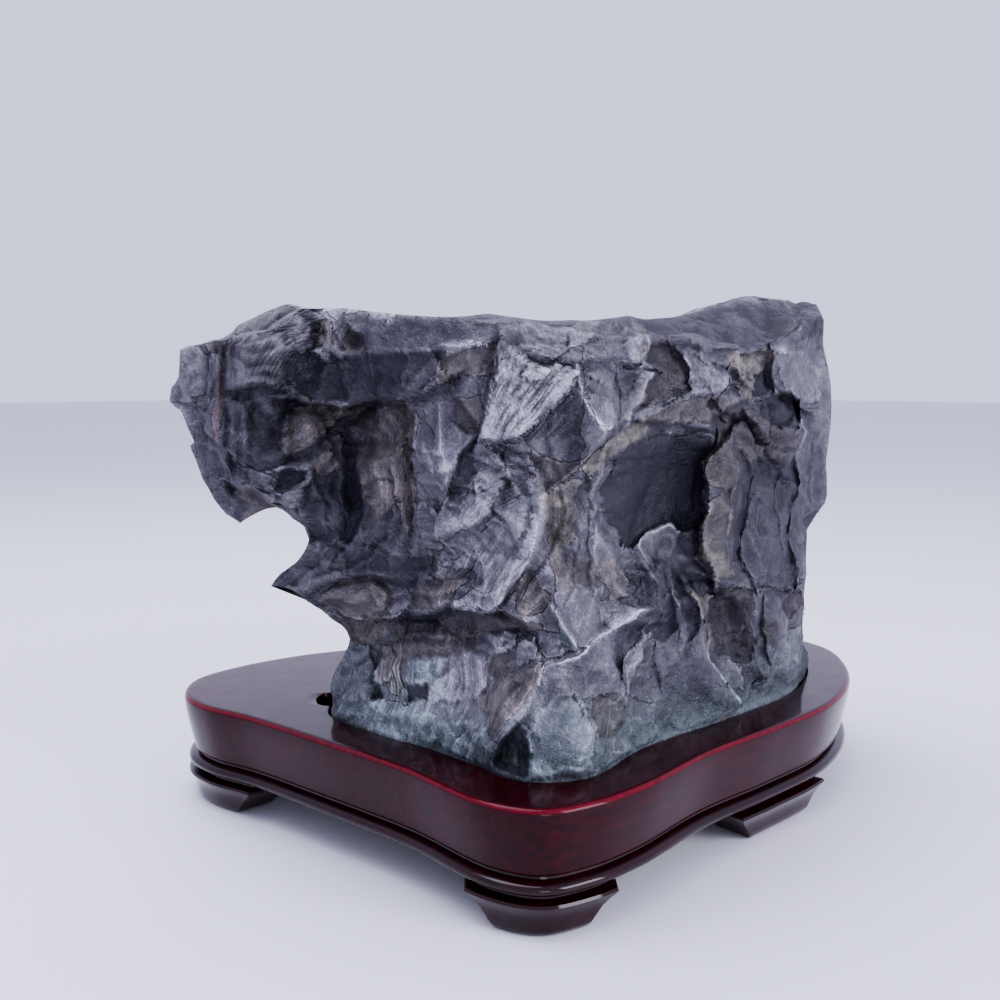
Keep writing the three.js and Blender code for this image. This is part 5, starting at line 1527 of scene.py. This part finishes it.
def stoneFinish():
    f = Finish("craggyRock")
    across = addNode(f.tree, "ShaderNodeCombineXYZ", "across the strands")
    f.link(f.math("MULTIPLY", f.mask("strandPhase"), 1.7), across.inputs["X"])
    lengthwise = addNode(f.tree, "ShaderNodeVectorMath", operation="MULTIPLY_ADD")
    f.link(f.place, lengthwise.inputs[0])
    lengthwise.inputs[1].default_value = (32, 32, 32)
    f.link(across.outputs["Vector"], lengthwise.inputs[2])
    hair = f.noise(1.0, 4, 0.62, lengthwise.outputs["Vector"])
    hair = f.math("MULTIPLY", f.math("SUBTRACT", hair, 0.5), 5.0)
    strand = f.math("MULTIPLY", f.math("MULTIPLY", hair, f.mask("strandDepth")), f.mottle(230, 0.32, 0.6))
    wide = f.math("MULTIPLY", f.cracks(70, 0.05), f.mottle(90, 0.5, 0.62))
    fine = f.math("MULTIPLY", f.cracks(260, 0.06, 0.004), f.mottle(130, 0.45, 0.62))
    sway = f.math("MULTIPLY", f.math("SUBTRACT", f.noise(520, 3, 0.65), 0.5), 5.0)
    border = f.math("ADD", f.mask("border"), sway)
    borderShown = f.math("MULTIPLY", f.mask("borderShown"), f.mottle(75, 0.44, 0.62))
    # dark lines just outside the borders are dark joints and painted shade, pale lines just inside are dust
    # and painted highlight
    jointAndShadeLine = f.math("MULTIPLY", f.ridge(border, -0.6, 0.95), borderShown)
    litEdge = f.math("MULTIPLY", f.ridge(border, 0.9, 1.0), borderShown)
    # pale dust and painted highlight along the crest lines
    dustAndHighlightLine = f.ridge(f.math("ADD", f.mask("dustAndHighlightLine"), sway), 0.0, 1.1)
    dustAndHighlightLine = f.math("MULTIPLY", f.math("MULTIPLY", dustAndHighlightLine, f.mask("dustAndHighlightLineShown")), f.mottle(160, 0.2, 0.5))
    marks = {
        "crestDustAndHighlight": f.mask("crestDustAndHighlight"), "hollowShade": f.mask("hollowShade"), "strands": strand,
        "clouds": f.mottle(110, 0.3, 0.7), "smallClouds": f.mottle(520, 0.36, 0.66),
        "grain": f.noise(2600, 2, 0.8), "specks": f.mottle(1500, 0.6, 0.72),
        "wideCracks": wide, "fineCracks": fine, "gapLines": jointAndShadeLine, "litEdges": litEdge, "veins": dustAndHighlightLine,
    }
    tone = f.math("MULTIPLY", f.mask("tone"), stoneMarks["laidTone"])
    for name, amount in marks.items():
        tone = f.math("ADD", tone, f.math("MULTIPLY", amount, stoneMarks[name]))
    ramp = addNode(f.tree, "ShaderNodeValToRGB", "stone greys")
    ramp.color_ramp.interpolation = "EASE"
    for k, (place, colour) in enumerate(stoneGreys):
        stop = ramp.color_ramp.elements[k] if k < 2 else ramp.color_ramp.elements.new(place)
        stop.position = place
        stop.color = (*colour, 1)
    f.link(tone, ramp.inputs["Fac"])
    grey = ramp.outputs["Color"]
    for name, colour in stoneTints.items():
        amount = f.dust(f.mask(name), 450, 0.9)
        grey = f.mix(f.math("MULTIPLY", amount, 0.85), grey, f.mix(1.0, grey, colour, "MULTIPLY"))
    f.link(grey, f.shader.inputs["Base Color"])
    rough = f.math("ADD", f.math("MULTIPLY", f.mottle(200, 0.3, 0.7), 0.16), 0.56)
    f.link(rough, f.shader.inputs["Roughness"])
    f.shader.inputs["Specular IOR Level"].default_value = 0.4
    heights = {
        "lumps": f.noise(240, 5, 0.68), "ridges": f.noise(330, 3, 0.6, kind="RIDGED_MULTIFRACTAL"),
        "grit": f.noise(1800, 2, 0.75), "strands": strand,
        "cracks": f.math("ADD", wide, fine), "gapLines": jointAndShadeLine,
    }
    normal = None
    for name, height in heights.items():
        normal = f.bump(height, *stoneBumps[name], normal)
    f.link(normal, f.shader.inputs["Normal"])
    return f.material


# the brightest red is rubbed wear and a painted highlight along the top board's rim
woodColours = {
    "maroon": (0.014, 0.0009, 0.003), "red": (0.052, 0.0014, 0.006), "black": (0.004, 0.0012, 0.002),
    "wornAndHighlight": (0.17, 0.006, 0.018), "blackRed": (0.009, 0.0014, 0.0026), "plum": (0.035, 0.002, 0.006),
}
lacquer = {"redGloss": 1.23, "darkGloss": 1.36, "roughness": 0.3, "roughnessSpread": 0.1, "clearCoat": 0.08}


def lacquerFinish(name, ground, lift, gloss, wearAndHighlight):
    f = Finish(name)
    stretch = addNode(f.tree, "ShaderNodeMapping")
    stretch.inputs["Scale"].default_value = (0.08, 1.0, 1.0)
    f.link(f.place, stretch.inputs["Vector"])
    grain = stretch.outputs["Vector"]
    colour = f.mix(f.math("MULTIPLY", f.mottle(900, 0.3, 0.74, grain), 0.6), ground, lift)
    colour = f.mix(f.math("MULTIPLY", f.mottle(60, 0.35, 0.75), 0.4), colour, ground)
    pores = f.math("MULTIPLY", f.mottle(3200, 0.6, 0.7, grain), 0.5)
    colour = f.mix(pores, colour, woodColours["black"])
    # the rim's band of rubbed wear and painted highlight, in a brighter red
    if wearAndHighlight:
        rubbedAndHighlight = f.math("MULTIPLY", f.dust(f.mask("wornAndHighlight"), 600, 0.6), 0.85)
        colour = f.mix(rubbedAndHighlight, colour, woodColours["wornAndHighlight"])
    f.link(colour, f.shader.inputs["Base Color"])
    rough = f.math("MULTIPLY", f.mottle(160, 0.3, 0.8), lacquer["roughnessSpread"])
    f.link(f.math("ADD", rough, lacquer["roughness"]), f.shader.inputs["Roughness"])
    f.shader.inputs["Specular IOR Level"].default_value = 0.05
    f.shader.inputs["Coat Weight"].default_value = 1.0
    f.shader.inputs["Coat Roughness"].default_value = lacquer["clearCoat"]
    f.shader.inputs["Coat IOR"].default_value = gloss
    normal = f.bump(f.noise(700, 3, 0.6, grain), 0.0001, 0.3)
    normal = f.bump(f.noise(110, 2, 0.5), 0.0004, 0.22, normal)
    f.link(normal, f.shader.inputs["Normal"])
    return f.material


print("finishes")
stone.data.materials.append(stoneFinish())
standTop.data.materials.append(
    lacquerFinish("redLacquer", woodColours["maroon"], woodColours["red"], lacquer["redGloss"], True)
)
darkLacquer = lacquerFinish(
    "darkLacquer", woodColours["blackRed"], woodColours["plum"], lacquer["darkGloss"], False
)
for piece in [moulding, *footPieces]:
    piece.data.materials.append(darkLacquer)

# the studio: a pale floor, soft light, and the camera at the photograph's place
studio = {
    "floorWidth": 6.0, "floor": (0.72, 0.71, 0.76, 1), "air": (0.73, 0.74, 1, 1), "airLight": 1.2,
    "sensor": 36, "photoWidth": 1000,
}
# soft lights: name, place, aim, width in m, power in W, colour
lights = [
    ("overhead", (-0.1, 0.12, 0.5), (0, 0, 0.05), 0.4, 3, (0.88, 0.9, 1)),
    ("window", (0.12, -0.62, 0.3), (0, -0.02, 0.05), 0.35, 4.2, (0.9, 0.92, 1)),
    ("low window", (-0.3, -0.42, 0.06), (-0.035, -0.04, 0.02), 0.16, 0.4, (0.95, 0.95, 1)),
]
bm = bmesh.new()
bmesh.ops.create_grid(bm, x_segments=1, y_segments=1, size=studio["floorWidth"] / 2)
floorMesh = bpy.data.meshes.new("paleFloor")
bm.to_mesh(floorMesh)
bm.free()
floor = bpy.data.objects.new("paleFloor", floorMesh)
bpy.context.scene.collection.objects.link(floor)
paint = bpy.data.materials.new("palePaper")
paint.use_nodes = True
paint.node_tree.nodes["Principled BSDF"].inputs["Base Color"].default_value = studio["floor"]
paint.node_tree.nodes["Principled BSDF"].inputs["Roughness"].default_value = 0.6
floorMesh.materials.append(paint)

cameraData = bpy.data.cameras.new("camera")
cameraData.lens = photoView["focal"] / studio["photoWidth"] * studio["sensor"]
cameraData.clip_start = 0.01
camera = bpy.data.objects.new("camera", cameraData)
camera.location = eye * mm
camera.rotation_euler = (math.pi / 2 - tilt, 0, -math.pi / 4)
bpy.context.scene.collection.objects.link(camera)
bpy.context.scene.camera = camera


def softLight(name, at, aim, size, power, colour):
    data = bpy.data.lights.new(name, "AREA")
    data.size = size
    data.energy = power
    data.color = colour
    lamp = bpy.data.objects.new(name, data)
    lamp.location = at
    lamp.rotation_euler = (Vector(aim) - Vector(at)).to_track_quat("-Z", "Y").to_euler()
    bpy.context.scene.collection.objects.link(lamp)


for light in lights:
    softLight(*light)
world = bpy.data.worlds.new("studio")
world.use_nodes = True
world.node_tree.nodes["Background"].inputs["Color"].default_value = studio["air"]
world.node_tree.nodes["Background"].inputs["Strength"].default_value = studio["airLight"]
bpy.context.scene.world = world
bpy.context.scene.view_settings.look = "AgX - Medium High Contrast"
